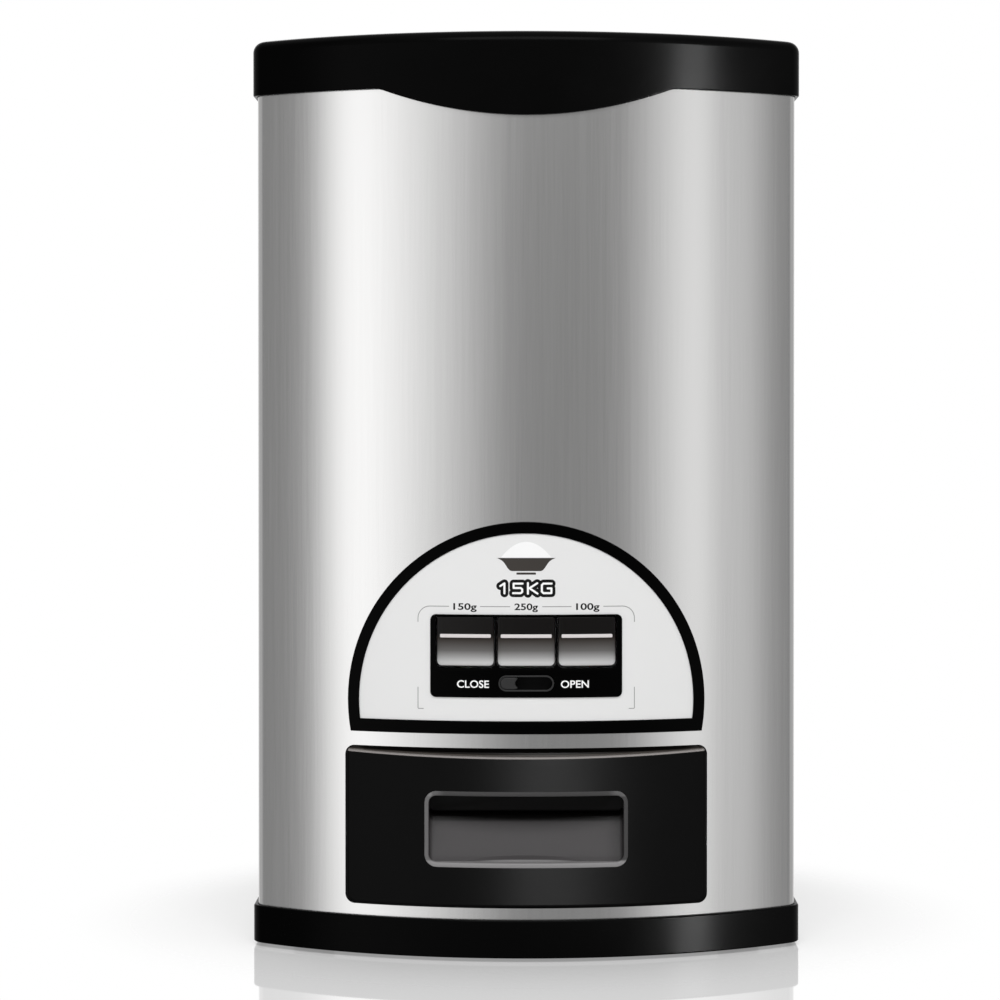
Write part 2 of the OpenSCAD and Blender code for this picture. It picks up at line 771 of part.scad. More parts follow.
module mouth(d, back) {
    intersection() {
        slab(0, far, d);
        ahead_of(back);
    }
}
module top_rim() {
    color(black) difference() {
        union() {
            slab(rim_z, rim_z + rim_t);
            // block behind the lid, which carries the hinge knuckles
            intersection() {
                union() {
                    slab(rim_z, block_top, -overhang);
                    ring(lid_z, rim_z, -overhang, -gap);
                }
                behind(lid_back + 0.5);
            }
            intersection() {
                ring(rim_z - 10, rim_z, groove, groove + wall);
                ahead_of(back_y - 12);
            }
            intersection() {
                slab(rim_z, upstand_z, mouth_in - wall);
                ahead_of(mouth_back + wall);
            }
            for (s = [-1, 1]) translate([s * knuckle_x - knuckle_w / 2, hinge_y, 0]) {
                translate([0, 0, hinge_z]) rotate([0, 90, 0]) cylinder(r = knuckle_r, h = knuckle_w);
                translate([0, -knuckle_r + 1, rim_z]) cube([knuckle_w, 2 * knuckle_r - 2, hinge_z - rim_z]);
            }
        }
        mouth(mouth_in, mouth_back);
        pin_bores(0.06);
    }
}

liner_screw_in = 30;
liner_screw_y = [for (k = [-4, 1, 5.5]) k * body_d / 16];
liner_screw_at = [for (s = [-1, 1], y = liner_screw_y) [s * (body_w / 2 - liner_screw_in), y]];

module lid_cap() {
    lip_r = (lip_w * lip_w / 4 + lip_drop * lip_drop) / (2 * lip_drop);
    cover_z = block_top + 0.5;
    color(black) difference() {
        union() {
            // the skirt and the rounded top, without what lies behind the hinge
            difference() {
                union() {
                    hull() for (a = [0:18:90])
                        translate([0, 0, body_h - lid_edge + lid_edge * sin(a) - 0.5])
                            linear_extrude(0.5) outline(-overhang + lid_edge * (1 - cos(a)), $fn = 64);
                    slab(lid_z, body_h - lid_edge, -overhang);
                }
                translate([-far / 2, lid_back, 0]) cube([far, far, cover_z]);
                translate([-far / 2, hinge_y, 0]) cube([far, far, far]);
            }
            intersection() {
                along_x(-far / 2, far / 2) translate([hinge_y, hinge_z]) circle(barrel_r);
                slab(0, far, -overhang);
            }
            // finger lip
            front_piece(-overhang, -gap, lid_z - lip_drop, lid_z + 2)
                translate([0, lid_z - lip_drop + lip_r]) circle(lip_r, $fn = 200);
        }
        slab(0, cover_z, -gap);
        intersection() {
            slab(0, body_h - lid_t, -gap);
            ahead_of(lid_back - overhang);
        }
        // notches for the rim's knuckles
        for (s = [-1, 1]) translate([s * knuckle_x - knuckle_w / 2 - 0.5, notch_y, 0]) cube([knuckle_w + 1, far, far]);
        pin_bores(0.02);
    }
    color(black) for (p = liner_screw_at) translate([p.x, p.y, liner_z + liner_t]) difference() {
        cylinder(r = 4, h = body_h - lid_t - liner_z - liner_t);
        translate([0, 0, -over]) cylinder(r = hole_r, h = 3);
    }
}
module lid_liner() {
    color(dark_grey) difference() {
        intersection() {
            slab(liner_z, liner_z + liner_t, 3.5);
            ahead_of(mouth_back + 4);
        }
        for (p = liner_screw_at) translate([p.x, p.y, 0]) cylinder(r = hole_r, h = far);
    }
}
module liner_screws() {
    color(zinc) for (p = liner_screw_at) translate([p.x, p.y, liner_z]) rotate([180, 0, 0]) screw(3.5);
}
module lid_seal() {
    color("#b8b8b4") difference() {
        intersection() {
            slab(seal_z, liner_z, mouth_in - 2.3);
            ahead_of(mouth_back + 2.3);
        }
        mouth(mouth_in + 0.3, mouth_back - 0.3);
    }
}
module hinge_pin(s) {
    color(steel) translate([s * knuckle_x - pin_len / 2, hinge_y, hinge_z]) rotate([0, 90, 0])
        cylinder(r = pin_r, h = pin_len);
}
module pin_bores(room) {
    for (s = [-1, 1]) translate([s * knuckle_x - pin_len / 2 - gap, hinge_y, hinge_z]) rotate([0, 90, 0])
        cylinder(r = pin_r + room, h = pin_len + 2 * gap);
}

// ---- drawer ----

module grip_shape(grow) {
    translate([0, grip_z + grip_h / 2]) round_rect(grip_w + 2 * grow, grip_h + 2 * grow, 5);
}
// side view of the finger space, grown by t: a slope below, a deep hollow above
grip_t = 1.4;
grip_rim = 0.9;
grip_back = bow_at(0) + 22;
grip_step = 24;
module grip_side(t) {
    low = grip_z + grip_t - t;
    high = grip_z + grip_h - grip_t + t;
    start = bow_at(grip_w / 2) + 1.5;
    polygon([[-body_d, low], [start, low], [grip_back - 5 + t / 2, low + grip_step], [grip_back + t, low + grip_step],
             [grip_back + t, high + 6], [bow_at(0) + 8 - t, high + 6], [bow_at(0) + 8 - t, high], [-body_d, high]]);
}
drawer_screw_at = [for (s = [-1, 1], z = [bin_z + 8, bin_z + bin_h - 10]) [s * (bin_w / 2 - wall - 5), z]];

module drawer_front() {
    slope = ledge_drop / (ledge_y - bow_at(0, -front_proud));
    color(black) difference() {
        intersection() {
            slab(0, far, -front_proud);
            along_y(-body_d, front_back_y) drawer_shape(front_w, front_h);
        }
        // the ledge: a plane that falls towards the front
        along_x(-far / 2, far / 2) polygon([[ledge_y, front_top], [ledge_y, front_top + 20],
            [-body_d, front_top + 20], [-body_d, front_top - slope * (ledge_y + body_d)]]);
        // hollow back, round the screw bosses
        difference() {
            intersection() {
                slab(0, far, front_t - front_proud);
                along_y(-body_d, front_back_y + over)
                    translate([0, front_mid - 2.5]) round_rect(front_w - 2 * wall, front_h - 2 * wall - 5, drawer_r - wall);
            }
            at_drawer_screws() cylinder(r = 3.5, h = far, center = true);
        }
        at_drawer_screws() translate([0, 0, -8]) cylinder(r = hole_r, h = 10);
        along_y(-body_d, front_back_y - 5) grip_shape(snug);
    }
}
module at_drawer_screws() {
    for (p = drawer_screw_at) translate([p.x, front_back_y, p.y]) rotate([-90, 0, 0]) children();
}
module grip_cup() {
    reach = grip_w / 2 - grip_t;
    face = bow_at(grip_w / 2, front_t - front_proud) + gap;
    color(dark_grey) difference() {
        union() {
            front_piece(-front_proud - 0.6, -front_proud, 0, far) grip_shape(grip_rim);
            intersection() {
                slab(0, far, -front_proud);
                along_x(-reach - grip_t, reach + grip_t) grip_side(grip_t);
                union() {
                    along_y(-body_d, face + 1) grip_shape(0);
                    behind(face);
                }
            }
        }
        along_x(-reach, reach) grip_side(0);
    }
}
module drawer_bin() {
    flange_h = drawer_h - 8;
    color(milk) difference() {
        union() {
            translate([-front_w / 2 + 1, front_back_y, bin_z - 3]) cube([front_w - 2, bin_flange_t, flange_h]);
            translate([-bin_w / 2, front_back_y, bin_z]) cube([bin_w, bin_len + bin_flange_t, bin_h]);
            for (s = [-1, 1]) translate([s > 0 ? bin_w / 2 - over : -rail_x + 0.7, bin_y + 6, runner_z])
                cube([rail_x - bin_w / 2 - 0.7 + over, bin_len - 6, runner_t]);
        }
        translate([-bin_w / 2 + wall, bin_y, bin_z + wall]) cube([bin_w - 2 * wall, bin_len - wall, far]);
        at_drawer_screws() cylinder(r = hole_r, h = 10, center = true);
    }
}
module drawer_screws() {
    color(zinc) at_drawer_screws() translate([0, 0, bin_flange_t]) screw(9);
}

// ---- what is drawn ----

base_tray();
foot(-1, false);  // foot_front_left
foot(1, false);  // foot_front_right
foot(-1, true);  // foot_back_left
foot(1, true);  // foot_back_right
steel_shell();
back_panel();
top_rim();
side_frame(-1);  // side_frame_left
side_frame(1);  // side_frame_right
drawer_rail(-1);  // drawer_rail_left
drawer_rail(1);  // drawer_rail_right
deck();
metering_housing();
lever_axle();
axle_clips();
hopper();
hopper_rib(-1);  // hopper_rib_left
hopper_rib(1);  // hopper_rib_right
panel_frame();
fascia();
console();
slot_bezel();
key_cap(0);  // key_150
key_cap(1);  // key_250
key_cap(2);  // key_100
key_ridge(0);  // key_ridge_150
key_ridge(1);  // key_ridge_250
key_ridge(2);  // key_ridge_100
lever(0);  // lever_150
lever(1);  // lever_250
lever(2);  // lever_100
gate(0);  // gate_150
gate(1);  // gate_250
gate(2);  // gate_100
gate_spring(0);  // gate_spring_150
gate_spring(1);  // gate_spring_250
gate_spring(2);  // gate_spring_100
shutoff_plate();
shutoff_knob();
lid_cap();
lid_liner();
lid_seal();
hinge_pin(-1);  // hinge_pin_left
hinge_pin(1);  // hinge_pin_right
drawer_front();
grip_cup();
drawer_bin();
base_screws();
back_screws();
deck_screws();
housing_screws();
liner_screws();
drawer_screws();
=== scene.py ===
import json
import math
import bpy
import bmesh
from mathutils import Matrix, Vector, geometry


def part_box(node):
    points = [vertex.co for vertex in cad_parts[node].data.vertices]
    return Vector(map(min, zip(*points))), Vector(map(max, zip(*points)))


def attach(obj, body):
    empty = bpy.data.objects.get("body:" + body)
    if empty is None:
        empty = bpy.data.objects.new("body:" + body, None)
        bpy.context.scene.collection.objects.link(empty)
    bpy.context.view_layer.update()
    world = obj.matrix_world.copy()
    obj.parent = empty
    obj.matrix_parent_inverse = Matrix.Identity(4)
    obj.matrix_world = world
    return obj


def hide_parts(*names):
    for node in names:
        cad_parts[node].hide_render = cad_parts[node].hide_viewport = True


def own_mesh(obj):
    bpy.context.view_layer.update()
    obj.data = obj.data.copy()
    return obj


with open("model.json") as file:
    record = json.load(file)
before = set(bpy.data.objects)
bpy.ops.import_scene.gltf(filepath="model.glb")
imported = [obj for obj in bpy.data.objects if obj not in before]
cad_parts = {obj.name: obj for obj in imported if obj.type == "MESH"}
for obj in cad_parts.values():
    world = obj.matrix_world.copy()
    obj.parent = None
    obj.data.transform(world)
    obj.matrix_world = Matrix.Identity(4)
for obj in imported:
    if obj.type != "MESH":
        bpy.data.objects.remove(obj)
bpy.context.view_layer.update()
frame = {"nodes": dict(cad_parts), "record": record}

mm = 0.001
cad = frame["nodes"]
print("frame loaded:", len(cad), "nodes")

# plan of the bin in millimetres: a bowed front, round corners, flat sides and back
plan = {"halfWidth": 145.0, "halfDepth": 160.0, "bow": 50.0, "frontRadius": 10.0, "backRadius": 12.0}
bowRadius = (plan["halfWidth"] ** 2 + plan["bow"] ** 2) / (2 * plan["bow"])
bowCentre = bowRadius - plan["halfDepth"]


def bowY(x, inset=0.0):
    return bowCentre - math.sqrt((bowRadius - inset) ** 2 - x * x)


def insetOf(x, y):  # how far behind the steel's front a point lies
    return bowRadius - math.hypot(x, bowCentre - y)


# node trees: sums are written in Python

class Wire:  # the output of a node
    def __init__(self, recipe, socket):
        self.recipe = recipe
        self.socket = socket

    def sum(self, operation, first, second=0.0):
        return self.recipe.node("ShaderNodeMath", {"operation": operation}, {0: first, 1: second})

    def __add__(self, other):
        return self.sum("ADD", self, other)

    def __radd__(self, other):
        return self.sum("ADD", other, self)

    def __sub__(self, other):
        return self.sum("SUBTRACT", self, other)

    def __rsub__(self, other):
        return self.sum("SUBTRACT", other, self)

    def __mul__(self, other):
        return self.sum("MULTIPLY", self, other)

    def __rmul__(self, other):
        return self.sum("MULTIPLY", other, self)

    def __pow__(self, other):
        return self.sum("POWER", self, other)

    def between(self, low, high):  # low at 0, high at 1
        return low + self * (high - low)

    def ease(self, low, high):  # 0 below low, 1 above high, smooth between
        return self.recipe.node("ShaderNodeMapRange", {"interpolation_type": "SMOOTHSTEP"},
                                {"Value": self, "From Min": low, "From Max": high})


class Recipe:  # a node tree being written
    def __init__(self, tree):
        self.tree = tree

    def node(self, kind, settings=None, values=None, out=0):
        made = self.tree.nodes.new(kind)
        for name, value in (settings or {}).items():
            if name == "stops":
                ramp = made.color_ramp
                while len(ramp.elements) < len(value):
                    ramp.elements.new(1.0)
                for stop, (position, colour) in zip(ramp.elements, value):
                    stop.position = position
                    stop.color = colour
            else:
                setattr(made, name, value)
        for name, value in (values or {}).items():
            if isinstance(value, Wire):
                self.tree.links.new(value.socket, made.inputs[name])
            else:
                made.inputs[name].default_value = value
        return Wire(self, made.outputs[out]) if len(made.outputs) else None

    def place(self):  # where a point is on the object
        return self.node("ShaderNodeTexCoord", out="Object")

    def axes(self, vector=None):  # X, Y and Z of a vector, or of the place on the object
        parts = self.node("ShaderNodeSeparateXYZ", None, {"Vector": vector or self.place()})
        return [Wire(self, socket) for socket in parts.socket.node.outputs]

    def noise(self, scale, detail=2.0, roughness=0.5, stretch=None):
        place = self.place()
        if stretch:
            place = self.node("ShaderNodeMapping", None, {"Vector": place, "Scale": stretch})
        return self.node("ShaderNodeTexNoise", None,
                         {"Vector": place, "Scale": scale, "Detail": detail, "Roughness": roughness})

    def blend(self, factor, first, second):
        return self.node("ShaderNodeMix", {"data_type": "RGBA"}, {0: factor, 6: first, 7: second}, out=2)

    def ramp(self, factor, stops):
        return self.node("ShaderNodeValToRGB", {"stops": stops}, {"Fac": factor})

    def bump(self, height, strength, depth):
        return self.node("ShaderNodeBump", None, {"Height": height, "Strength": strength, "Distance": depth})


def tone(value, alpha=1.0):
    values = (value, value, value) if isinstance(value, (int, float)) else tuple(value)
    return (*values, alpha)


def emptied(holder):  # the recipe of a material's or world's tree, with nothing in it
    holder.use_nodes = True
    holder.node_tree.nodes.clear()
    return Recipe(holder.node_tree)


def finishNamed(name, write, shine=0.5, **fixed):  # write(recipe) gives the sockets that vary
    material = bpy.data.materials.new(name)
    recipe = emptied(material)
    values = {"Specular IOR Level": shine, **fixed, **write(recipe)}
    shader = recipe.node("ShaderNodeBsdfPrincipled", None, values)
    recipe.node("ShaderNodeOutputMaterial", None, {"Surface": shader})
    return material


def surface(recipe, values, mask, wear, height):  # two tones, two roughnesses and a bump, if there is one
    made = {"Base Color": recipe.blend(mask, tone(values["dark"]), tone(values["light"])),
            "Roughness": wear.between(values["smooth"], values["rough"])}
    if "bump" in values:
        made["Normal"] = recipe.bump(height, *values["bump"])
    return made


# finishes: noises are given by scale, detail and roughness, a bump by strength and depth

glossBlack = {"dark": 0.0004, "light": 0.0011, "smooth": 0.20, "rough": 0.26, "bump": (0.03, 0.0004)}
# drawerBlack: line is a painted highlight along the ledge's front edge, ledge a painted lit tone, back a
# painted shade behind and above it
drawerBlack = {"dark": 0.0006, "light": 0.0014, "smooth": 0.30, "rough": 0.36, "bump": (0.05, 0.0004),
               "line": (0.12, 0.112, 0.108), "ledge": (0.030, 0.026, 0.023), "back": (0.004, 0.0035, 0.003),
               "highlightLineSpread": (500, 0.8), "highlightLineStops": (0.20, 0.36, 0.66, 0.78), "depth": (0.002, 0.016),
               "rise": (0.0001, 0.0005), "foot": (-0.0015, -0.0011)}
lidTop = {"from": (0.4870, 0.4878), "coat": 0.8, "coatRoughness": 0.16}


def clouded(recipe, values):  # a grain under clouds of two tones, worn where they are light
    cloud, grain = recipe.noise(*values["cloud"]), recipe.noise(*values["grain"])
    return surface(recipe, values, cloud, cloud.ease(*values["band"]), grain)


def writeBlack(recipe, values=glossBlack):
    return clouded(recipe, {"cloud": (9.0, 5.0, 0.6), "grain": (380.0, 1.5), "band": (0.35, 0.75), **values})


def writeLidBlack(recipe):  # a coat on the level top, which mirrors the room
    made = writeBlack(recipe)
    made["Coat Weight"] = recipe.axes()[2].ease(*lidTop["from"]) * lidTop["coat"]
    return made


def writeDrawerBlack(recipe):  # painted light: the ledge is painted a lighter, warmer tone as if lit from above, with a painted highlight line along its front edge and painted shade where it runs back under the steel
    made = writeBlack(recipe, drawerBlack)
    x, y, z = recipe.axes()
    back = y - bowCentre * mm
    deep = (bowRadius + drawer["proud"]) * mm - (x * x + back * back) ** 0.5
    levelAtAxis = (frontTop - drawer["ledgeEnd"] - ledgeSlope * ledgeY) * mm
    rise = z - levelAtAxis - y * ledgeSlope  # over the ledge's plane
    tones = [tone(drawerBlack[key]) for key in ("light", "line", "line", "ledge")]
    spread, middle = drawerBlack["highlightLineSpread"]
    # painted highlight line along the ledge's front edge, then the ledge's painted lit tone
    edge = recipe.ramp(rise * spread + middle, list(zip(drawerBlack["highlightLineStops"], tones)))
    # painted shade: darker further back behind the front, and above the ledge's plane
    behind = deep.ease(*drawerBlack["depth"]) + rise.ease(*drawerBlack["rise"])
    ledge = recipe.blend(behind, edge, tone(drawerBlack["back"]))
    made["Base Color"] = recipe.blend(rise.ease(*drawerBlack["foot"]), made["Base Color"], ledge)
    return made


brushedSteel = {"dark": (0.595, 0.592, 0.588), "light": (0.63, 0.627, 0.623), "smooth": 0.22, "rough": 0.255,
                "hair": (1.0, 3.0, 0.65, (2600, 2600, 14)), "band": (1.0, 2.0, 0.5, (420, 420, 3)),
                "bandShare": 0.25, "contrast": (0.3, 0.7), "bump": (0.03, 0.00008)}


def writeBrushedSteel(recipe):  # fine upright grain
    hair, band = recipe.noise(*brushedSteel["hair"]), recipe.noise(*brushedSteel["band"])
    share = brushedSteel["bandShare"]
    mask = (hair * (1 - share) + band * share).ease(*brushedSteel["contrast"])
    return surface(recipe, brushedSteel, mask, mask, hair)


zincPlate = {"dark": (0.40, 0.415, 0.425), "light": (0.56, 0.575, 0.585), "spangle": 160.0,
             "haze": (14.0, 4.0), "smooth": 0.32, "rough": 0.46, "bump": (0.05, 0.002)}


def writeZinc(recipe):
    place = {"Vector": recipe.place(), "Scale": zincPlate["spangle"]}
    flake = recipe.node("ShaderNodeTexVoronoi", None, place, out="Color")
    pick = recipe.node("ShaderNodeSeparateColor", None, {"Color": flake})
    haze = recipe.noise(*zincPlate["haze"])
    return surface(recipe, zincPlate, (pick + haze) * 0.5, pick, haze)


turned = {"rings": (900.0, 2.0), "dark": 0.50, "light": 0.64, "smooth": 0.22, "rough": 0.38,
          "bump": (0.08, 0.0001)}
drawn = {"rings": (1400.0, 2.0), "dark": 0.42, "light": 0.58, "smooth": 0.25, "rough": 0.40}


def metalWriter(values):  # screws, pins and wire: fine rings from turning and rolling
    def write(recipe):
        ring = recipe.noise(*values["rings"])
        return surface(recipe, values, ring, ring, ring)
    return write


def plasticWriter(dark, light, smooth, rough, bump, size=700.0):
    values = {"cloud": (11.0, 4.0, 0.55), "band": (0.3, 0.75), "grain": (size, 3.0, 0.6), "bump": bump,
              "dark": dark, "light": light, "smooth": smooth, "rough": rough}
    return lambda recipe: clouded(recipe, values)


# the keys' stops paint shade above the ridge and a light reflection at the foot of the scoop
keyPaintedLight = {"low": 0.1553, "ridge": 0.1709, "grain": (600.0, 2.0), "smooth": 0.28, "rough": 0.34,
            "bump": (0.015, 0.00005), "stops": (
                (0.0, 0.43), (0.12, 0.43), (0.5, (0.120, 0.116, 0.113)), (0.92, (0.028, 0.021, 0.017)),
                (1.0, (0.0042, 0.0034, 0.0032)))}


def writeKeyPaintedLight(recipe):  # painted light: dark above the ridge as painted shade, fading to a painted silver reflection at the foot of the scoop, where it faces up
    rise = (recipe.axes()[2] - keyPaintedLight["low"]) * (1 / (keyPaintedLight["ridge"] - keyPaintedLight["low"]))
    grain = recipe.noise(*keyPaintedLight["grain"])
    return {"Base Color": recipe.ramp(rise, [(at, tone(value)) for at, value in keyPaintedLight["stops"]]),
            "Roughness": grain.between(keyPaintedLight["smooth"], keyPaintedLight["rough"]),
            "Normal": recipe.bump(grain, *keyPaintedLight["bump"])}


# painted light on the finger cup: hollow, shadow and shade paint shade; rim and the rim levels paint
# highlights
cupPaintedLight = {"face": (0.044, 0.0405, 0.042), "hollow": (0.0016, 0.0012, 0.0012), "rim": (0.24, 0.235, 0.237),
            "hollowY": (-0.1445, -0.1437), "rimY": (-0.1541, -0.1529), "foot": (0.0520, 0.0534),
            "top": (0.0858, 0.0870), "left": (-0.0503, -0.0488), "corner": (0.0423, 0.0483),
            "shadow": (0.0403, 0.0513), "shade": 0.55, "specks": 0.06, "rimHighlight": 0.22, "footHighlight": 0.80,
            "leftHighlight": 0.30, "cornerGlint": 0.24, "grain": (900.0, 3.0, 0.6), "smooth": 0.34, "rough": 0.44,
            "bump": (0.1, 0.0001)}


def writeCupPaintedLight(recipe):  # painted light: a flat grey face with painted shade at its right end, the hollow above painted near black as shade, and the rim painted lighter at its foot, left side and upper corners as highlights and glints
    g = cupPaintedLight
    x, y, z = recipe.axes()
    grain = recipe.noise(*g["grain"])
    hollow = tone(g["hollow"])
    # painted shade towards the right end of the face, over random specks
    face = recipe.blend(x.ease(*g["shadow"]) * g["shade"] + grain * g["specks"], tone(g["face"]), hollow)
    # painted shade: the deep hollow is painted near black
    inner = recipe.blend(y.ease(*g["hollowY"]), face, hollow)
    # painted highlights on the rim: lighter at its foot, along its left side and at its upper corners
    foot = 1 - z.ease(*g["foot"])
    left = (1 - foot) * (1 - x.ease(*g["left"]))
    corners = z.ease(*g["top"]) * ((x * x) ** 0.5).ease(*g["corner"])
    level = g["rimHighlight"] + foot * g["footHighlight"] + left * g["leftHighlight"] + corners * g["cornerGlint"]
    rim = recipe.blend(level, hollow, tone(g["rim"]))
    return {"Base Color": recipe.blend(y.ease(*g["rimY"]), rim, inner),
            "Roughness": grain.between(g["smooth"], g["rough"]), "Normal": recipe.bump(grain, *g["bump"])}


def plastic(name, *values, **fixed):
    return finishNamed(name, plasticWriter(*values), **fixed)


finishes = {  # plastics: dark and light tone, smooth and rough, bump, size of the grain
    "black_gloss": finishNamed("glossBlack", writeBlack, 0.02),
    "steel_wrap": finishNamed("brushedSteel", writeBrushedSteel, Metallic=1.0),
    "zinc_sheet": finishNamed("zincSheet", writeZinc, Metallic=1.0),
    "fastener": finishNamed("platedScrew", metalWriter(turned), Metallic=1.0),
    "pin_steel": finishNamed("groundPin", metalWriter(turned), Metallic=1.0),
    "spring_wire": finishNamed("springWire", metalWriter(drawn), Metallic=1.0),
    "foot_rubber": plastic("footRubber", 0.018, 0.035, 0.72, 0.9, (0.35, 0.0003), 1500.0),
    "seal_rubber": plastic("sealRubber", (0.40, 0.40, 0.38), (0.48, 0.48, 0.46), 0.6, 0.75, (0.2, 0.0002)),
    "dark_frame": plastic("darkMoulding", 0.014, 0.024, 0.42, 0.58, (0.25, 0.0002)),
    "dark_trim": plastic("satinTrim", 0.022, 0.030, 0.34, 0.46, (0.12, 0.0001), shine=0.2),
    "milky_plastic": plastic("milkyPlastic", (0.72, 0.70, 0.64), (0.80, 0.78, 0.72), 0.34, 0.48,
                             (0.1, 0.0002), **{"Subsurface Weight": 0.15, "Subsurface Scale": 0.004}),
    "gate_plastic": plastic("gatePlastic", 0.70, 0.76, 0.38, 0.5, (0.1, 0.0002)),
    "fascia_grey": plastic("fasciaGrey", (0.715, 0.715, 0.712), (0.745, 0.745, 0.742), 0.36, 0.46,
                           (0.10, 0.0001), 1100.0),
    "key_grey": finishNamed("keyWithPaintedLight", writeKeyPaintedLight, 0.16),
    "key_trim": plastic("keyTrim", (0.62, 0.58, 0.58), (0.68, 0.64, 0.64), 0.25, 0.35, (0.05, 0.0001)),
}
cupFinish = finishNamed("cupGrey", writeCupPaintedLight, 0.2)
lidFinish = finishNamed("lidBlack", writeLidBlack, 0.02, **{"Coat Roughness": lidTop["coatRoughness"]})
hiddenBlack = plastic("hiddenBlack", 0.0015, 0.003, 0.5, 0.6, (0.2, 0.0002), shine=0.1)
inkLayer = (0.45, 0.6, (0.1, 0.00005), 2500.0)
inkTones = {"dark": (0.003, 0.006, 0.15), "grey": (0.26, 0.30, 0.5), "white": (0.84, 0.90, 0.5),
            "warm": ((0.026, 0.021, 0.017), (0.032, 0.026, 0.021), 0.5)}
inks = {name: plastic(name + "Ink", dark, light, *inkLayer, shine=shine)
        for name, (dark, light, shine) in inkTones.items()}
print("finishes:", len(finishes) + len(inks))


# making and keeping pieces

pieces = {}


def keep(name, mesh, body, slot, replaces=(), finish=None, sharp=38.0, fair=None):
    mesh.materials.clear()
    mesh.materials.append(finish or finishes[slot])
    mesh.shade_smooth()
    mesh.set_sharp_from_angle(angle=math.radians(sharp))
    if fair:
        fair(mesh)
    piece = looseObject(name, mesh)
    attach(piece, body)
    pieces[name] = piece
    if replaces:
        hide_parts(*replaces)
    return piece


corner = {"x": plan["halfWidth"] - plan["frontRadius"]}
corner["y"] = bowCentre - math.sqrt((bowRadius - plan["frontRadius"]) ** 2 - corner["x"] ** 2)


def planNormal(x, y, sideFrom=100, sideEnd=147):  # the way the steel faces nearest a point; none at the back
    if y > corner["y"]:
        return Vector((math.copysign(1.0, x), 0, 0)) if abs(x) > sideFrom and y < sideEnd else None
    if math.atan2(abs(x), bowCentre - y) < math.atan2(corner["x"], bowCentre - corner["y"]):
        return Vector((x, y - bowCentre, 0)).normalized()
    return Vector((x - math.copysign(corner["x"], x), y - corner["y"], 0)).normalized()


def bowNormals(mesh, close=0.999, upright=0.05):  # strips and cuts leave no trace on the bow
    normals = [(0, 0, 0)] * len(mesh.loops)
    for face in mesh.polygons:
        if abs(face.normal.z) > upright:
            continue
        for k in face.loop_indices:
            place = mesh.vertices[mesh.loops[k].vertex_index].co / mm
            way = planNormal(place.x, place.y)
            if way and abs(way.dot(face.normal)) > close:
                normals[k] = way if way.dot(face.normal) > 0 else -way
    mesh.normals_split_custom_set(normals)


def levelNormals(mesh, near=0.35):  # wide faces stay level right up to their broken edges
    around = {}
    for face in mesh.polygons:
        for v in face.vertices:
            around.setdefault(v, []).append((face.normal.copy(), face.area))
    normals = []
    for face in mesh.polygons:
        for v in face.vertices:
            level = (way * area for way, area in around[v] if way.dot(face.normal) > near)
            normals.append(sum(level, Vector()).normalized())
    mesh.normals_split_custom_set(normals)


def bakedMesh(thing):  # the evaluated mesh; the maker object goes away
    bpy.context.view_layer.update()
    mesh = bpy.data.meshes.new_from_object(thing.evaluated_get(bpy.context.evaluated_depsgraph_get()))
    bpy.data.objects.remove(thing)
    return mesh


def looseObject(name, data):
    thing = bpy.data.objects.new(name, data)
    bpy.context.scene.collection.objects.link(thing)
    return thing


def welded(mesh, near):  # the mesh is taken up, and its doubled points joined
    bm = bmesh.new()
    bm.from_mesh(mesh)
    bpy.data.meshes.remove(mesh)
    bmesh.ops.remove_doubles(bm, verts=bm.verts, dist=near)
    return bm


def setMesh(bm, name):
    mesh = bpy.data.meshes.new(name)
    bm.to_mesh(mesh)
    bm.free()
    return mesh


def reachX(bm):
    across = [v.co.x for v in bm.verts]
    return min(across), max(across)


def inside(point, loop):
    odd = False
    for (ax, az), (bx, bz) in zip(loop, loop[1:] + loop[:1]):
        if (az > point.y) != (bz > point.y) and point.x < ax + (point.y - az) * (bx - ax) / (bz - az):
            odd = not odd
    return odd


def facesOut(bm):  # turns round each shell whose volume comes out negative
    seen = set()
    for first in bm.faces:
        if first in seen:
            continue
        shell, volume = [first], 0.0
        seen.add(first)
        for face in shell:  # grows while it is read
            corners = [v.co for v in face.verts]
            volume += sum(corners[0].dot(a.cross(b)) for a, b in zip(corners[1:], corners[2:]))
            for edge in face.edges:
                for near in edge.link_faces:
                    if near not in seen:
                        seen.add(near)
                        shell.append(near)
        if volume < 0:
            bmesh.ops.reverse_faces(bm, faces=shell)


tiny = 1e-4


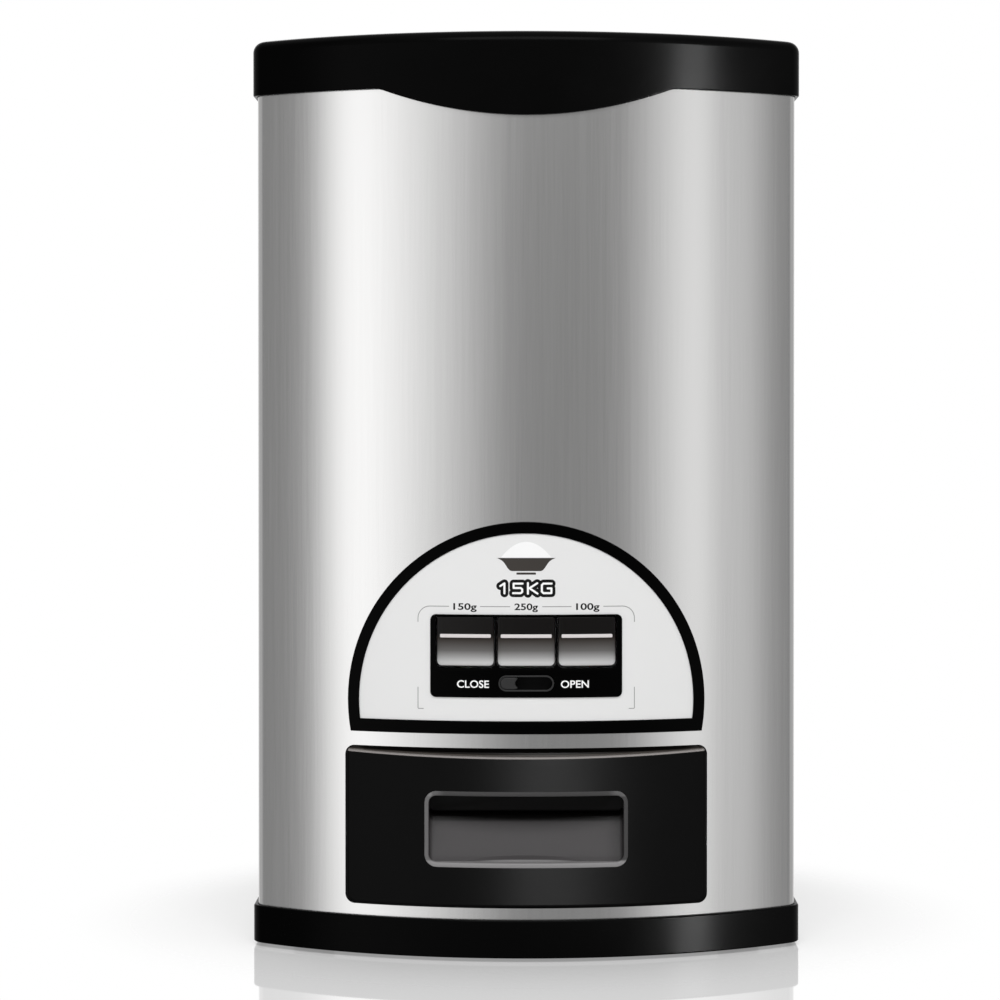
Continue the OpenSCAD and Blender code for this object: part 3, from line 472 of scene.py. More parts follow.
class Solid:  # a closed surface built ring by ring, in millimetres
    def __init__(self):
        self.points = []
        self.faces = []

    def ring(self, points):
        start = len(self.points)
        self.points.extend(Vector(p) for p in points)
        return list(range(start, len(self.points)))

    def bridge(self, first, second, closed=True):
        count = len(first)
        for k in range(count if closed else count - 1):
            n = (k + 1) % count
            self.faces.append((first[k], first[n], second[n], second[k]))

    def loft(self, rings):
        made = [self.ring(r) for r in rings]
        for a, b in zip(made, made[1:]):
            self.bridge(a, b)
        return made

    def fill(self, loops):  # between an outer loop and its holes, seen from the front
        ids = [i for loop in loops for i in loop]
        flat = [Vector((self.points[i].x, self.points[i].z)) for i in ids]
        edges, start = [], 0
        for loop in loops:
            count = len(loop)
            edges += [(start + k, start + (k + 1) % count) for k in range(count)]
            start += count
        found = geometry.delaunay_2d_cdt(flat, edges, [], 1, 1e-6)
        holes = [[(self.points[i].x, self.points[i].z) for i in loop] for loop in loops[1:]]
        for face in found[2]:
            middle = sum((found[0][v] for v in face), Vector((0, 0))) / len(face)
            if not any(inside(middle, hole) for hole in holes):
                self.faces.append(tuple(ids[found[3][v][0]] for v in face))

    def mesh(self, name, bend=0.0, recalc=True):
        bm = bmesh.new()
        verts = [bm.verts.new(p) for p in self.points]
        for face in self.faces:
            if len(set(face)) > 2:
                try:
                    bm.faces.new([verts[i] for i in face])
                except ValueError:
                    pass
        bmesh.ops.remove_doubles(bm, verts=bm.verts, dist=tiny)
        return meshFrom(bm, name, bend, recalc)


def meshFrom(bm, name, bend=0.0, recalc=True):  # the finished mesh, in metres
    if bend:  # points are (x, inset, z): cut in upright strips, then laid on the bow
        low, high = reachX(bm)
        for k in range(math.floor(low / bend) + 1, math.ceil(high / bend)):
            bmesh.ops.bisect_plane(bm, geom=bm.verts[:] + bm.edges[:] + bm.faces[:], dist=tiny,
                                   plane_co=(k * bend, 0, 0), plane_no=(1, 0, 0))
        for v in bm.verts:
            v.co.y = bowY(v.co.x, v.co.y)
    if recalc:
        bmesh.ops.recalc_face_normals(bm, faces=bm.faces)
        facesOut(bm)
    mesh = setMesh(bm, name)
    mesh.transform(Matrix.Scale(mm, 4))
    return mesh


def capped(name, rings):  # a solid between its first and last ring
    solid = Solid()
    made = solid.loft(rings)
    solid.faces += [tuple(reversed(made[0])), tuple(made[-1])]
    return solid.mesh(name)


def planLoop(step=1.2, turnCuts=12, sideCuts=30, backCuts=20):
    b = plan["backRadius"]
    cornerX, cornerY = corner["x"], corner["y"]
    backX, backY = plan["halfWidth"] - b, plan["halfDepth"] - b
    tangent = math.atan2(cornerX, bowCentre - cornerY)
    cuts = round(bowRadius * tangent / step)
    quarter = math.pi / 2
    turns = [(0, bowCentre, bowRadius, tangent * k / cuts) for k in range(cuts + 1)]
    turns += [(cornerX, cornerY, plan["frontRadius"], tangent + (quarter - tangent) * k / turnCuts)
              for k in range(1, turnCuts + 1)]
    arcs = [(x + r * math.sin(a), y - r * math.cos(a), math.sin(a), -math.cos(a)) for x, y, r, a in turns]
    side = [(plan["halfWidth"], y, 1.0, 0.0) for y in spaced(cornerY, backY, sideCuts)]
    ways = [(math.cos(a), math.sin(a)) for a in arcSteps(turnCuts)]
    rear = [(backX + b * x, backY + b * y, x, y) for x, y in ways]
    back = [(backX * (1 - k / backCuts), plan["halfDepth"], 0.0, 1.0) for k in range(1, backCuts + 1)]
    half = arcs + side + rear + back  # points on the steel and their outward directions, front to back
    return half + [(-x, y, -nx, ny) for x, y, nx, ny in reversed(half[1:-1])]


def arcSteps(count):  # a quarter turn
    return [math.pi / 2 * k / count for k in range(count + 1)]


def halfTurn(start, count):
    return [start + math.pi * k / count for k in range(count + 1)]


def spaced(low, high, count):  # even steps, without the two ends
    return [low + (high - low) * k / count for k in range(1, count)]


def circle(radius, sides=48):
    turns = [2 * math.pi * k / sides for k in range(sides)]
    return [(radius * math.cos(a), radius * math.sin(a)) for a in turns]


planPoints = planLoop()


def planRing(inset, z):
    height = z if callable(z) else (lambda x, y: z)
    ring = []
    for x, y, nx, ny in planPoints:
        px, py = x - inset * nx, y - inset * ny
        ring.append((px, py, height(px, py)))
    return ring


def roundLoop(cx, cz, w, h, r, steps=8, runs=(1,)):  # r for all corners, or for the lower and the upper ones
    low, high = r if isinstance(r, tuple) else (r, r)
    corners = []
    for sx, sz, start in ((1, -1, 270), (1, 1, 0), (-1, 1, 90), (-1, -1, 180)):
        c = max(low if sz < 0 else high, 0.001)
        x, z = cx + sx * (w / 2 - c), cz + sz * (h / 2 - c)
        turns = [math.radians(start) + a for a in arcSteps(steps)]
        corners.append([(x + c * math.cos(a), z + c * math.sin(a)) for a in turns])
    loop = []
    for k, arc in enumerate(corners):  # runs: the cuts of the right, upper, left and lower side
        ax, az = arc[-1]
        bx, bz = corners[(k + 1) % 4][0]
        count = runs[k % len(runs)]
        loop += arc + list(zip(spaced(ax, bx, count), spaced(az, bz, count)))
    return loop


def plate(name, loops, front, back, edge=0.0, bend=2.0):  # a flat outline with round edges, laid on the bow
    curve = bpy.data.curves.new(name, "CURVE")
    curve.dimensions = "2D"
    curve.fill_mode = "BOTH"
    curve.extrude = (back - front) / 2 - edge
    curve.bevel_depth = edge
    curve.bevel_resolution = 2
    curve.offset = -edge
    for loop in loops:
        spline = curve.splines.new("POLY")
        spline.points.add(len(loop) - 1)
        for point, (x, z) in zip(spline.points, loop):
            point.co = (x, z, 0, 1)
        spline.use_cyclic_u = True
    bm = welded(bakedMesh(looseObject(name, curve)), 0.003)
    middle = (front + back) / 2
    for v in bm.verts:
        v.co = (v.co.x, middle - v.co.z, v.co.y)
    return meshFrom(bm, name, bend)


def joined(name, *meshes):
    bm = bmesh.new()
    for mesh in meshes:
        bm.from_mesh(mesh)
        bpy.data.meshes.remove(mesh)
    return setMesh(bm, name)


def softCopy(node, width, segments=2, flat=0.6, sharp=32.0):  # a CAD node with its edges broken
    bm = welded(cad[node].data.copy(), 0.002 * mm)
    bmesh.ops.dissolve_limit(bm, angle_limit=math.radians(flat), verts=bm.verts, edges=bm.edges)
    thing = looseObject(node + "Soft", setMesh(bm, node + "Soft"))
    bevel = thing.modifiers.new("edges", "BEVEL")
    bevel.width = width * mm
    bevel.segments = segments
    bevel.limit_method = "ANGLE"
    bevel.angle_limit = math.radians(sharp)
    bevel.use_clamp_overlap = True
    return bakedMesh(thing)


def cut(target, tools, operation="DIFFERENCE"):
    thing = looseObject("cutting", target)
    helpers = []
    for tool in tools:
        helper = looseObject("tool", tool)
        helpers.append(helper)
        step = thing.modifiers.new("cut", "BOOLEAN")
        step.operation = operation
        step.solver = "EXACT"
        step.object = helper
    mesh = bakedMesh(thing)
    for helper in helpers:
        bpy.data.objects.remove(helper)
    return mesh


def block(x0, x1, y0, y1, z0, z1):
    return capped("block", [[(x0, y0, z), (x1, y0, z), (x1, y1, z), (x0, y1, z)] for z in (z0, z1)])


def alongY(loop, y0, y1):
    return capped("prism", [[(x, y, z) for x, z in loop] for y in (y0, y1)])


def barAlongX(x0, x1, y, z, radius, chamfer=0.0, sides=48):
    rings = [(x0, radius), (x1, radius)]
    if chamfer:
        small = radius - chamfer
        rings = [(x0, small), (x0 + chamfer, radius), (x1 - chamfer, radius), (x1, small)]
    return capped("bar", [[(x, y + a, z + b) for a, b in circle(r, sides)] for x, r in rings])


# geometry nodes: what repeats or winds

def newTree(name, inputs):
    tree = bpy.data.node_groups.new(name, "GeometryNodeTree")
    tree.interface.new_socket("Geometry", in_out="INPUT", socket_type="NodeSocketGeometry")
    for label, (kind, value) in inputs.items():
        socket = tree.interface.new_socket(label, in_out="INPUT", socket_type="NodeSocket" + kind)
        if value is not None:
            socket.default_value = value
    tree.interface.new_socket("Geometry", in_out="OUTPUT", socket_type="NodeSocketGeometry")
    recipe = Recipe(tree)
    source = tree.nodes.new("NodeGroupInput")
    return tree, recipe, (lambda label: Wire(recipe, source.outputs[label]))


def endTree(recipe, shape, finish):
    whole = recipe.node("GeometryNodeRealizeInstances", None, {"Geometry": shape})
    dressed = recipe.node("GeometryNodeSetMaterial", None, {"Geometry": whole, "Material": finish})
    recipe.node("NodeGroupOutput", None, {"Geometry": dressed})


def grown(name, mesh, tree, values):  # runs a tree on a mesh and gives the plain result
    thing = looseObject(name, mesh)
    modifier = thing.modifiers.new(name, "NODES")
    modifier.node_group = tree
    for item in tree.interface.items_tree:
        if item.item_type == "SOCKET" and item.in_out == "INPUT" and item.name in values:
            modifier[item.identifier] = values[item.name]
    return bakedMesh(thing)


def placingTree():  # one small part set down at every point
    tree, recipe, given = newTree("setDown", {"Part": ("Object", None), "Turn": ("Vector", (0.0, 0.0, 0.0)),
                                              "Finish": ("Material", None)})
    info = recipe.node("GeometryNodeObjectInfo", None, {"Object": given("Part")}, out="Geometry")
    turn = recipe.node("FunctionNodeEulerToRotation", None, {"Euler": given("Turn")})
    placed = recipe.node("GeometryNodeInstanceOnPoints", None,
                         {"Points": given("Geometry"), "Instance": info, "Rotation": turn})
    endTree(recipe, placed, given("Finish"))
    return tree


def springTree():  # a coil wound along its own axis
    tree, recipe, given = newTree("coil", {
        "Turns": ("Float", 4.0), "Radius": ("Float", 0.0037), "Length": ("Float", 0.016),
        "Wire": ("Float", 0.0005), "Turn": ("Vector", (0.0, 0.0, 0.0)),
        "Foot": ("Vector", (0.0, 0.0, 0.0)), "Finish": ("Material", None)})
    spiral = recipe.node("GeometryNodeCurveSpiral", None,
                         {"Resolution": 36, "Rotations": given("Turns"), "Start Radius": given("Radius"),
                          "End Radius": given("Radius"), "Height": given("Length")})
    section = recipe.node("GeometryNodeCurvePrimitiveCircle", None,
                          {"Resolution": 10, "Radius": given("Wire")})
    tube = recipe.node("GeometryNodeCurveToMesh", None,
                       {"Curve": spiral, "Profile Curve": section, "Fill Caps": True})
    laid = recipe.node("GeometryNodeTransform", None,
                       {"Geometry": tube, "Translation": given("Foot"), "Rotation": given("Turn")})
    endTree(recipe, laid, given("Finish"))
    return tree


def sweepTree():  # a rectangular section with round edges, run along a plan line
    tree, recipe, given = newTree("planSweep", {"Height": ("Float", 0.02), "Thickness": ("Float", 0.001),
                                                "Edge": ("Float", 0.0002), "Steps": ("Int", 3),
                                                "Finish": ("Material", None)})
    line = recipe.node("GeometryNodeMeshToCurve", None, {"Mesh": given("Geometry")})
    upright = recipe.node("GeometryNodeSetCurveNormal", None, {"Curve": line})
    section = recipe.node("GeometryNodeCurvePrimitiveQuadrilateral", None,
                          {"Width": given("Thickness"), "Height": given("Height")})
    softer = recipe.node("GeometryNodeFilletCurve", {"mode": "POLY"}, {
        "Curve": section, "Radius": given("Edge"), "Count": given("Steps"), "Limit Radius": True})
    swept = recipe.node("GeometryNodeCurveToMesh", None,
                        {"Curve": upright, "Profile Curve": softer, "Fill Caps": True})
    endTree(recipe, swept, given("Finish"))
    return tree


setDown = placingTree()
coil = springTree()
planSweep = sweepTree()


def loose(name, points, edges=()):  # points in millimetres, with or without lines between them
    mesh = bpy.data.meshes.new(name)
    mesh.from_pydata([Vector(p) * mm for p in points], edges, [])
    return mesh


# steel wrap: swept along the plan, then cut for the half-moon and the drawer

wrap = {"bottom": 9.0, "top": 465.0, "sheet": 1.0, "flap": 125.0, "edge": 0.2}
moon = {"radius": 94.5, "bottom": 119.5, "height": 111.3, "border": 5.9, "borderLow": 6.6,
        "hole": 2.7, "face": (-1.6, -0.15, 0.45), "spigot": 2.85, "spigotWall": 3.0,
        "spigotEnd": (-0.15, 3.0)}
drawer = {"width": 192.0, "height": 84.0, "bottom": 28.0, "radius": 5.0, "gap": 0.5, "proud": 1.5,
          "wall": 3.0, "ledge": 2.4, "ledgeEnd": 1.6, "back": bowY(96.0) + 10.0, "edge": 1.6, "inner": -2.0,
          "rear": 0.3, "cupGap": 0.15, "cuts": (1, 120, 1, 60)}
beyond = 200.0  # past any side of the bin
moonMiddle = moon["bottom"] + moon["height"] - moon["radius"]
drawerMiddle = drawer["bottom"] + drawer["height"] / 2


def moonLoop(side, low, step=1.0):
    r = moon["radius"] - side
    start = math.asin((moon["bottom"] + low - moonMiddle) / r)
    span = math.pi - 2 * start
    count = round(r * span / step)
    turns = [start + span * k / count for k in range(count + 1)]
    return [(r * math.cos(a), moonMiddle + r * math.sin(a)) for a in turns]


half = [p for p in planPoints[:len(planPoints) // 2 + 1] if p[0] > wrap["flap"] or p[1] < 0]
strip = [(-x, y, -nx, ny) for x, y, nx, ny in reversed(half[1:])] + half
middleZ, halfSheet = (wrap["bottom"] + wrap["top"]) / 2, wrap["sheet"] / 2
line = [(x - halfSheet * nx, y - halfSheet * ny, middleZ) for x, y, nx, ny in strip]
sheet = grown("wrapSheet", loose("line", line, [(k, k + 1) for k in range(len(line) - 1)]), planSweep,
              {"Height": (wrap["top"] - wrap["bottom"]) * mm, "Thickness": wrap["sheet"] * mm,
               "Edge": wrap["edge"] * mm, "Finish": finishes["steel_wrap"]})
openings = [moonLoop(moon["hole"], moon["hole"]),
            roundLoop(0, drawerMiddle, drawer["width"], drawer["height"], drawer["radius"])]
sheet = cut(sheet, [alongY(loop, -beyond, 0) for loop in openings])
keep("steelWrap", sheet, "cabinet", "steel_wrap", ["steel_shell"], fair=bowNormals)
print("steel wrap done")

# base: skirt, floor and the groove that holds the steel

base = {"out": -2.5, "foot": 2.0, "top": 22.0, "inner": -0.3, "floor": 6.0, "floorTop": 9.0, "groove": 1.3,
        "wall": 2.0, "edge": 1.0, "footEdge": 0.8, "footChamfer": 0.4, "topChamfer": 0.3}


def roundDown(out, low, r):  # a skirt's lower outer edge, from its foot to its side: inset and height
    return [(out + r * (1 - math.sin(a)), low + r * (1 - math.cos(a))) for a in arcSteps(4)]


def roundUp(out, high, r, steps):  # its upper outer edge
    return [(out + r * (1 - math.cos(a)), high - r * (1 - math.sin(a))) for a in arcSteps(steps)]


inner, foot, top, groove, floorTop = (base[key] for key in ("inner", "foot", "top", "groove", "floorTop"))
farWall, bite, nick = groove + base["wall"], base["footChamfer"], base["topChamfer"]
profile = [(inner, base["floor"]), (inner, foot + bite), (inner - bite, foot),
           *roundDown(base["out"], foot, base["footEdge"]), *roundUp(base["out"], top, base["edge"], 5),
           (inner - nick, top), (inner, top - nick), (inner, floorTop), (groove, floorTop), (groove, top),
           (farWall, top), (farWall, floorTop)]
tray = capped("baseTray", [planRing(i, z) for i, z in profile])
keep("baseTray", tray, "cabinet", "black_gloss", ["base_tray"], fair=bowNormals)
print("base done")

# lid: one skin with a rounded top edge and the finger lip

lid = {"bottom": 458.5, "top": 488.0, "out": -2.5, "inner": -0.3, "edge": 6.0, "ceiling": 485.5,
       "shoulder": 468.0, "lipWidth": 155.0, "lipDrop": 14.8, "lipEdge": 0.7,
       "lipInside": ((0, 0.6), (0.25, 0.12), (0.6, 0.0)),
       "hinge": (154.0, 480.0), "barrel": (8.0, 0.6, 64), "barrelEnd": 1.2, "back": 142.5, "cover": 472.0,
       "slotX": 80.0, "slotHalf": 10.5, "slotFront": 144.5, "boreHalf": 18.3, "bore": 2.02,
       "cutLow": 400, "cutHigh": 500}
lipRadius = (lid["lipWidth"] ** 2 / 4 + lid["lipDrop"] ** 2) / (2 * lid["lipDrop"])


def lipLine(x, y, tipRound=0.9):  # lower edge of the lid, with its finger lip in front
    gap = lid["lipDrop"] - lipRadius + math.sqrt(max(lipRadius ** 2 - x * x, 0.0))
    if y > 0 or gap <= -tipRound:
        return lid["bottom"]
    return lid["bottom"] - (gap if gap >= tipRound else (gap + tipRound) ** 2 / (4 * tipRound))


def lipRing(inset, rise):
    return planRing(inset, lambda x, y: lipLine(x, y) + rise)


rings = [planRing(lid["inner"], lid["ceiling"])]
rings += [lipRing(lid["inner"] - step, rise) for step, rise in lid["lipInside"]]
rings += [lipRing(inset, rise) for inset, rise in roundDown(lid["out"], 0, lid["lipEdge"])]
rings += [planRing(lid["out"], lid["shoulder"])]
rings += [planRing(inset, z) for inset, z in roundUp(lid["out"], lid["top"], lid["edge"], 10)]
low, high = lid["cutLow"], lid["cutHigh"]
skin = cut(capped("lidSkin", rings), [block(-beyond, beyond, lid["back"], beyond, low, lid["cover"]),
                                      block(-beyond, beyond, lid["hinge"][0], beyond, low, high)])
width = plan["halfWidth"] - lid["out"] - lid["barrelEnd"]
skin = cut(skin, [barAlongX(-width, width, *lid["hinge"], *lid["barrel"])], "UNION")
ends = (-lid["slotX"], lid["slotX"])
slots = [block(x - lid["slotHalf"], x + lid["slotHalf"], lid["slotFront"], beyond, low, high) for x in ends]
bores = [barAlongX(x - lid["boreHalf"], x + lid["boreHalf"], *lid["hinge"], lid["bore"]) for x in ends]
skin = cut(skin, slots + bores)
keep("lidShell", skin, "lid", "black_gloss", ["lid_cap"], lidFinish, fair=bowNormals)
print("lid done")

# half-moon panel: border, fascia, console, keys

fascia = {"gap": 0.15, "face": (-0.7, 1.5, 0.2), "hole": (-1.0, 2.2)}
console = {"width": 100.8, "height": 43.5, "top": 182.2, "radius": 3.0, "face": (-1.5, -0.85, 0.25),
           "back": (-0.85, 0.8), "backHole": (-1.15, 2.0), "window": (3.2, 1.2), "windowDrop": 0.7}
keys = {"width": 30.0, "height": 25.6, "top": 180.9, "pitch": 31.9, "gap": 0.6, "scoop": 2.0, "edge": 0.5,
        "corner": 2.7, "topCorner": 0.9, "face": -1.0, "foot": 0.6, "chord": 14.6, "lean": 0.4, "depth": 7.0,
        "rows": (0, 0.06, 0.2, 0.45, 0.8, 1.3, 2.0, 2.7), "topRows": (1.0, 0.7, 0.45, 0.2, 0.06, 0),
        "columns": (0, 0.06, 0.2, 0.5, 1.0, 1.8), "cuts": (34, 20)}  # lines are closer near the edges
ridge = {"rise": 15.65, "side": 1.6, "height": 1.9, "radius": 0.5, "face": (-1.3, 0.05, 0.3)}
slide = {"width": 29.4, "height": 8.7, "z": 146.2, "knobWidth": 10.2, "knobX": -8.5, "travel": 17.0,
         "hollow": 2.4, "bezel": (0.15, 0.95), "bezelFace": (-1.9, 0.6, 0.22), "knobGap": 1.2, "clear": 0.12,
         "knobFace": (-1.7, 4.4, 0.5, 1.0)}
keyBottom = keys["top"] - keys["height"]
keyMiddle = (keys["top"] + keyBottom) / 2
keyNames = {"150": -keys["pitch"], "250": 0.0, "100": keys["pitch"]}


def borderLoop(grow):
    return moonLoop(moon["border"] + grow, moon["borderLow"] + grow)


border = plate("moonBorder", [moonLoop(0, 0), borderLoop(0)], *moon["face"])
outline = moonLoop(moon["spigot"], moon["spigot"])
spigot = plate("moonSpigot", [outline, borderLoop(moon["spigotWall"])], *moon["spigotEnd"])
keep("moonBorder", joined("moonBorder", border, spigot), "cabinet", "black_gloss", ["panel_frame"],
     fair=bowNormals)


def consoleLoop(grow, radius):
    w, h = console["width"], console["height"]
    return roundLoop(0, console["top"] - h / 2, w + 2 * grow, h + 2 * grow, radius)


def slotLoop(shrink):
    h = slide["height"] - 2 * shrink
    return roundLoop(0, slide["z"], slide["width"] - 2 * shrink, h, h / 2 - 0.01, 12)


whole = plate("fasciaPlate", [borderLoop(fascia["gap"]), consoleLoop(*fascia["hole"])], *fascia["face"])
keep("fasciaPlate", whole, "cabinet", "fascia_grey", ["fascia"], fair=bowNormals)
gap, drop = 2 * keys["gap"], console["windowDrop"]
window = (keyMiddle - drop / 2, keys["width"] + gap, keys["height"] + gap + drop, console["window"])
openings = [roundLoop(x, *window) for x in keyNames.values()] + [slotLoop(0)]
faceplate = plate("consoleFace", [consoleLoop(0, console["radius"]), *openings], *console["face"])
backing = plate("consoleBack", [consoleLoop(*console["backHole"]), *openings], *console["back"])
keep("consolePlate", joined("consolePlate", faceplate, backing), "cabinet", "black_gloss", ["console"],
     fair=bowNormals)
bezel = plate("slotBezel", [slotLoop(shrink) for shrink in slide["bezel"]], *slide["bezelFace"])
keep("slotBezel", bezel, "cabinet", "dark_trim", ["slot_bezel"])


def knobLoop():  # round on the left; hollowed on the right, with corners that clear the bezel's end
    w, h, x = slide["knobWidth"], slide["height"] - 2 * slide["knobGap"], slide["knobX"]
    r = h / 2 - 0.2
    endRadius = slide["height"] / 2 - slide["bezel"][1]
    endX = slide["width"] / 2 - slide["bezel"][1] - endRadius - slide["travel"] - slide["clear"]
    loop = []
    for a in halfTurn(-math.pi / 2, 24):
        rise = h / 2 * math.sin(a)
        hollow = x + w / 2 - slide["hollow"] * math.cos(a) ** 2
        clear = endX + math.sqrt(max(endRadius ** 2 - rise ** 2, 0.0))
        loop.append((min(hollow, clear), slide["z"] + rise))
    left = x - w / 2 + r
    arc = [(left + r * math.cos(a), slide["z"] + h / 2 * math.sin(a)) for a in halfTurn(math.pi / 2, 12)]
    return loop + arc


knob = plate("shutoffKnob", [knobLoop()], *slide["knobFace"])
keep("shutoffKnob", knob, "shutoff", "dark_trim", ["shutoff_knob"])


def keyDepth(z):  # inset of a key's face at height z: flat above the ridge, hollowed below it
    chord, deep = keys["chord"], keys["scoop"]
    rise = z - keyBottom - keys["foot"]
    if rise <= 0 or rise >= chord:
        crown = keys["height"] - keys["foot"] - chord
        return keys["face"] + keys["lean"] * max(0.0, (rise - chord) / crown)
    r = (chord ** 2 / 4 + deep ** 2) / (2 * deep)
    return keys["face"] + math.sqrt(r * r - (rise - chord / 2) ** 2) - (r - deep)


def keyMesh(name, x0):
    e, w = keys["edge"], keys["width"]
    low, high = keys["corner"], keys["topCorner"]
    rowCuts, columnCuts = keys["cuts"]
    lower, upper = [keyBottom + f for f in keys["rows"]], [keys["top"] - f for f in keys["topRows"]]
    heights = lower + spaced(lower[-1], upper[0], rowCuts) + upper
    left = list(keys["columns"])
    columns = left + spaced(left[-1], w - left[-1], columnCuts) + [w - a for a in reversed(left)]

    def halfAt(z):
        up, down = keys["top"] - z, z - keyBottom
        if down < low:
            return w / 2 - low + math.sqrt(max(low ** 2 - (low - down) ** 2, 0))
        if up < high:
            return w / 2 - high + math.sqrt(max(high ** 2 - (high - up) ** 2, 0))
        return w / 2

    def distance(x, z):  # from the outline, inwards
        x = abs(x)
        for r, cz, side in ((low, keyBottom + low, -1), (high, keys["top"] - high, 1)):
            if (z - cz) * side > 0 and x > w / 2 - r:
                return r - math.hypot(x - (w / 2 - r), z - cz)
        return min(w / 2 - x, z - keyBottom, keys["top"] - z)

    solid = Solid()
    rows = []
    for z in heights:
        reach = halfAt(z)
        row = []
        for c in columns:
            x = (c / w * 2 - 1) * reach
            d = max(distance(x, z), 0.0)
            drop = e - math.sqrt(max(e * e - (e - d) ** 2, 0)) if d < e else 0.0
            row.append((x0 + x, keyDepth(z) + drop, z))
        rows.append(solid.ring(row))
    for a, b in zip(rows, rows[1:]):
        solid.bridge(a, b, closed=False)
    sides = rows[1:-1]
    rim = rows[0] + [r[-1] for r in sides] + rows[-1][::-1] + [r[0] for r in reversed(sides)]
    back = solid.ring([(solid.points[i].x, keys["depth"], solid.points[i].z) for i in rim])
    solid.bridge(rim, back)
    solid.faces.append(tuple(back))
    return solid.mesh(name, bend=2.0)


ridgeWidth = keys["width"] - 2 * ridge["side"]
for weight, x in keyNames.items():
    lever = "lever_" + weight
    keep("key" + weight, keyMesh("key" + weight, x), lever, "key_grey", ["key_" + weight], sharp=50)
    loop = roundLoop(x, keyBottom + ridge["rise"], ridgeWidth, ridge["height"], ridge["radius"], 4)
    bar = plate("ridge" + weight, [loop], *ridge["face"])
    keep("keyRidge" + weight, bar, lever, "key_trim", ["key_ridge_" + weight])
print("panel and keys done")

# drawer: bowed front with a sloping ledge, finger cup and bin

frontWidth, frontHeight = drawer["width"] - 2 * drawer["gap"], drawer["height"] - 2 * drawer["gap"]
frontTop = drawerMiddle + frontHeight / 2
ledgeY = bowY(frontWidth / 2, -drawer["proud"])
ledgeSlope = drawer["ledge"] / (ledgeY - bowY(0, -drawer["proud"]))
grip = {"width": 103.4, "height": 37.7, "bottom": 50.55, "radius": 5.0, "rim": (1.8, 1.1), "wall": 1.4,
        "side": 0.5, "stand": 2.1, "runs": (6, 60)}


def frontLoop(grow):  # outline of the drawer front
    return roundLoop(0, drawerMiddle, frontWidth + 2 * grow, frontHeight + 2 * grow,
                     drawer["radius"] + grow, 8, drawer["cuts"])


def ledgeLoop(grow):  # with its top edge lowered as the ledge falls
    high = frontTop + grow - drawer["ledgeEnd"]
    return [(x, min(z, high - ledgeSlope * (ledgeY - bowY(x, -drawer["proud"]))) if z > drawerMiddle else z)
            for x, z in frontLoop(grow)]


def gripLoop(aside, up):
    w, h = grip["width"], grip["height"]
    return roundLoop(0, grip["bottom"] + h / 2, w + 2 * aside, h + 2 * up, grip["radius"] + (aside + up) / 2,
                     10, grip["runs"])


solid = Solid()
e, face = drawer["edge"], -drawer["proud"]
inFace, inner, rear, gap = face + drawer["wall"], drawer["inner"], drawer["rear"], drawer["cupGap"]


def atInset(loop, inset):
    return [(x, inset, z) for x, z in loop]


def atY(loop, y):  # straight back from the front's round edge
    return [(x, insetOf(x, max(y, bowY(x, face + e))), z) for x, z in loop]


edges = [(e * (1 - math.cos(a)), face + e * (1 - math.sin(a))) for a in arcSteps(5)]
made = solid.loft([atInset(frontLoop(inner), inFace), atY(frontLoop(inner), drawer["back"]),
                   atY(frontLoop(-rear), drawer["back"]), atY(frontLoop(0), drawer["back"] - rear),
                   atY(frontLoop(0), ledgeY), *[atInset(ledgeLoop(-less), inset) for less, inset in edges]])
holes = solid.loft([atInset(gripLoop(gap, gap), inset) for inset in (face, inFace)])
solid.fill([made[-1], holes[0]])
solid.fill([made[0], holes[1]])
drawerFinish = finishNamed("drawerBlack", writeDrawerBlack, 0.035)
keep("drawerFront", solid.mesh("drawerFront", bend=2.0), "drawer", "black_gloss", ["drawer_front"],
     drawerFinish, fair=bowNormals)

cup = {"hollow": (  # y, rise of the floor and of the ceiling, corner radius
    (-152.7, 0, 0, 3.6), (-152.2, 1.2, 0, 3.2), (-151.9, 2.0, 0.6, 3.0), (-151.6, 2.7, 6, 2.8),
    (-149.5, 7.5, 6, 2.8), (-147.0, 13.2, 6, 2.8), (-144.6, 18.8, 6, 2.8), (-143.2, 22.0, 6, 2.8),
    (-142.2, 23.6, 6, 2.8), (-141.0, 24.2, 6, 2.8), (-139.2, 24.2, 6, 2.8), (-138.4, 24.5, 5.7, 2.5),
    (-138.0, 25.3, 4.9, 2.0)), "neck": (4.2, -1.5), "neckIn": -0.05, "rimSide": 0.3, "shell": 4,
    "rimOut": ((0, -1.5), (0, -1.8), (0.12, -2.03), (0.4, -grip["stand"])),
    "rimIn": ((0.6, -grip["stand"]), (1.0, -1.95), (1.3, -1.6))}


def cupRing(y, floor, ceiling, radius, grow=0.0):  # a section of the hollow at a given depth
    low = grip["bottom"] + grip["wall"] + floor
    high = grip["bottom"] + grip["height"] - grip["wall"] + ceiling
    width = grip["width"] - 2 * grip["side"] + 2 * grow
    loop = roundLoop(0, (low + high) / 2, width, high - low + 2 * grow, radius + grow, 10, grip["runs"])
    return [(x, y + grow, z) for x, z in loop]


def rimRing(aside, up, inset):  # a line of the rim, on the bow
    return [(x, bowY(x, inset), z) for x, z in gripLoop(aside, up)]


rings = [cupRing(*section, grip["wall"]) for section in reversed(cup["hollow"][cup["shell"]:])]
rings += [rimRing(cup["neckIn"], cup["neckIn"], inset) for inset in cup["neck"]]
rings += [rimRing(grip["rim"][0] - g, grip["rim"][1] - g, inset) for g, inset in cup["rimOut"]]
rings += [rimRing(-g * cup["rimSide"], -g, inset) for g, inset in cup["rimIn"]]
rings += [cupRing(*section) for section in cup["hollow"]]
keep("fingerCup", capped("fingerCup", rings), "drawer", "dark_trim", ["grip_cup"], cupFinish)
keep("drawerBin", softCopy("drawer_bin", 0.5, 3), "drawer", "milky_plastic", ["drawer_bin"],
     fair=levelNormals)
print("drawer done")

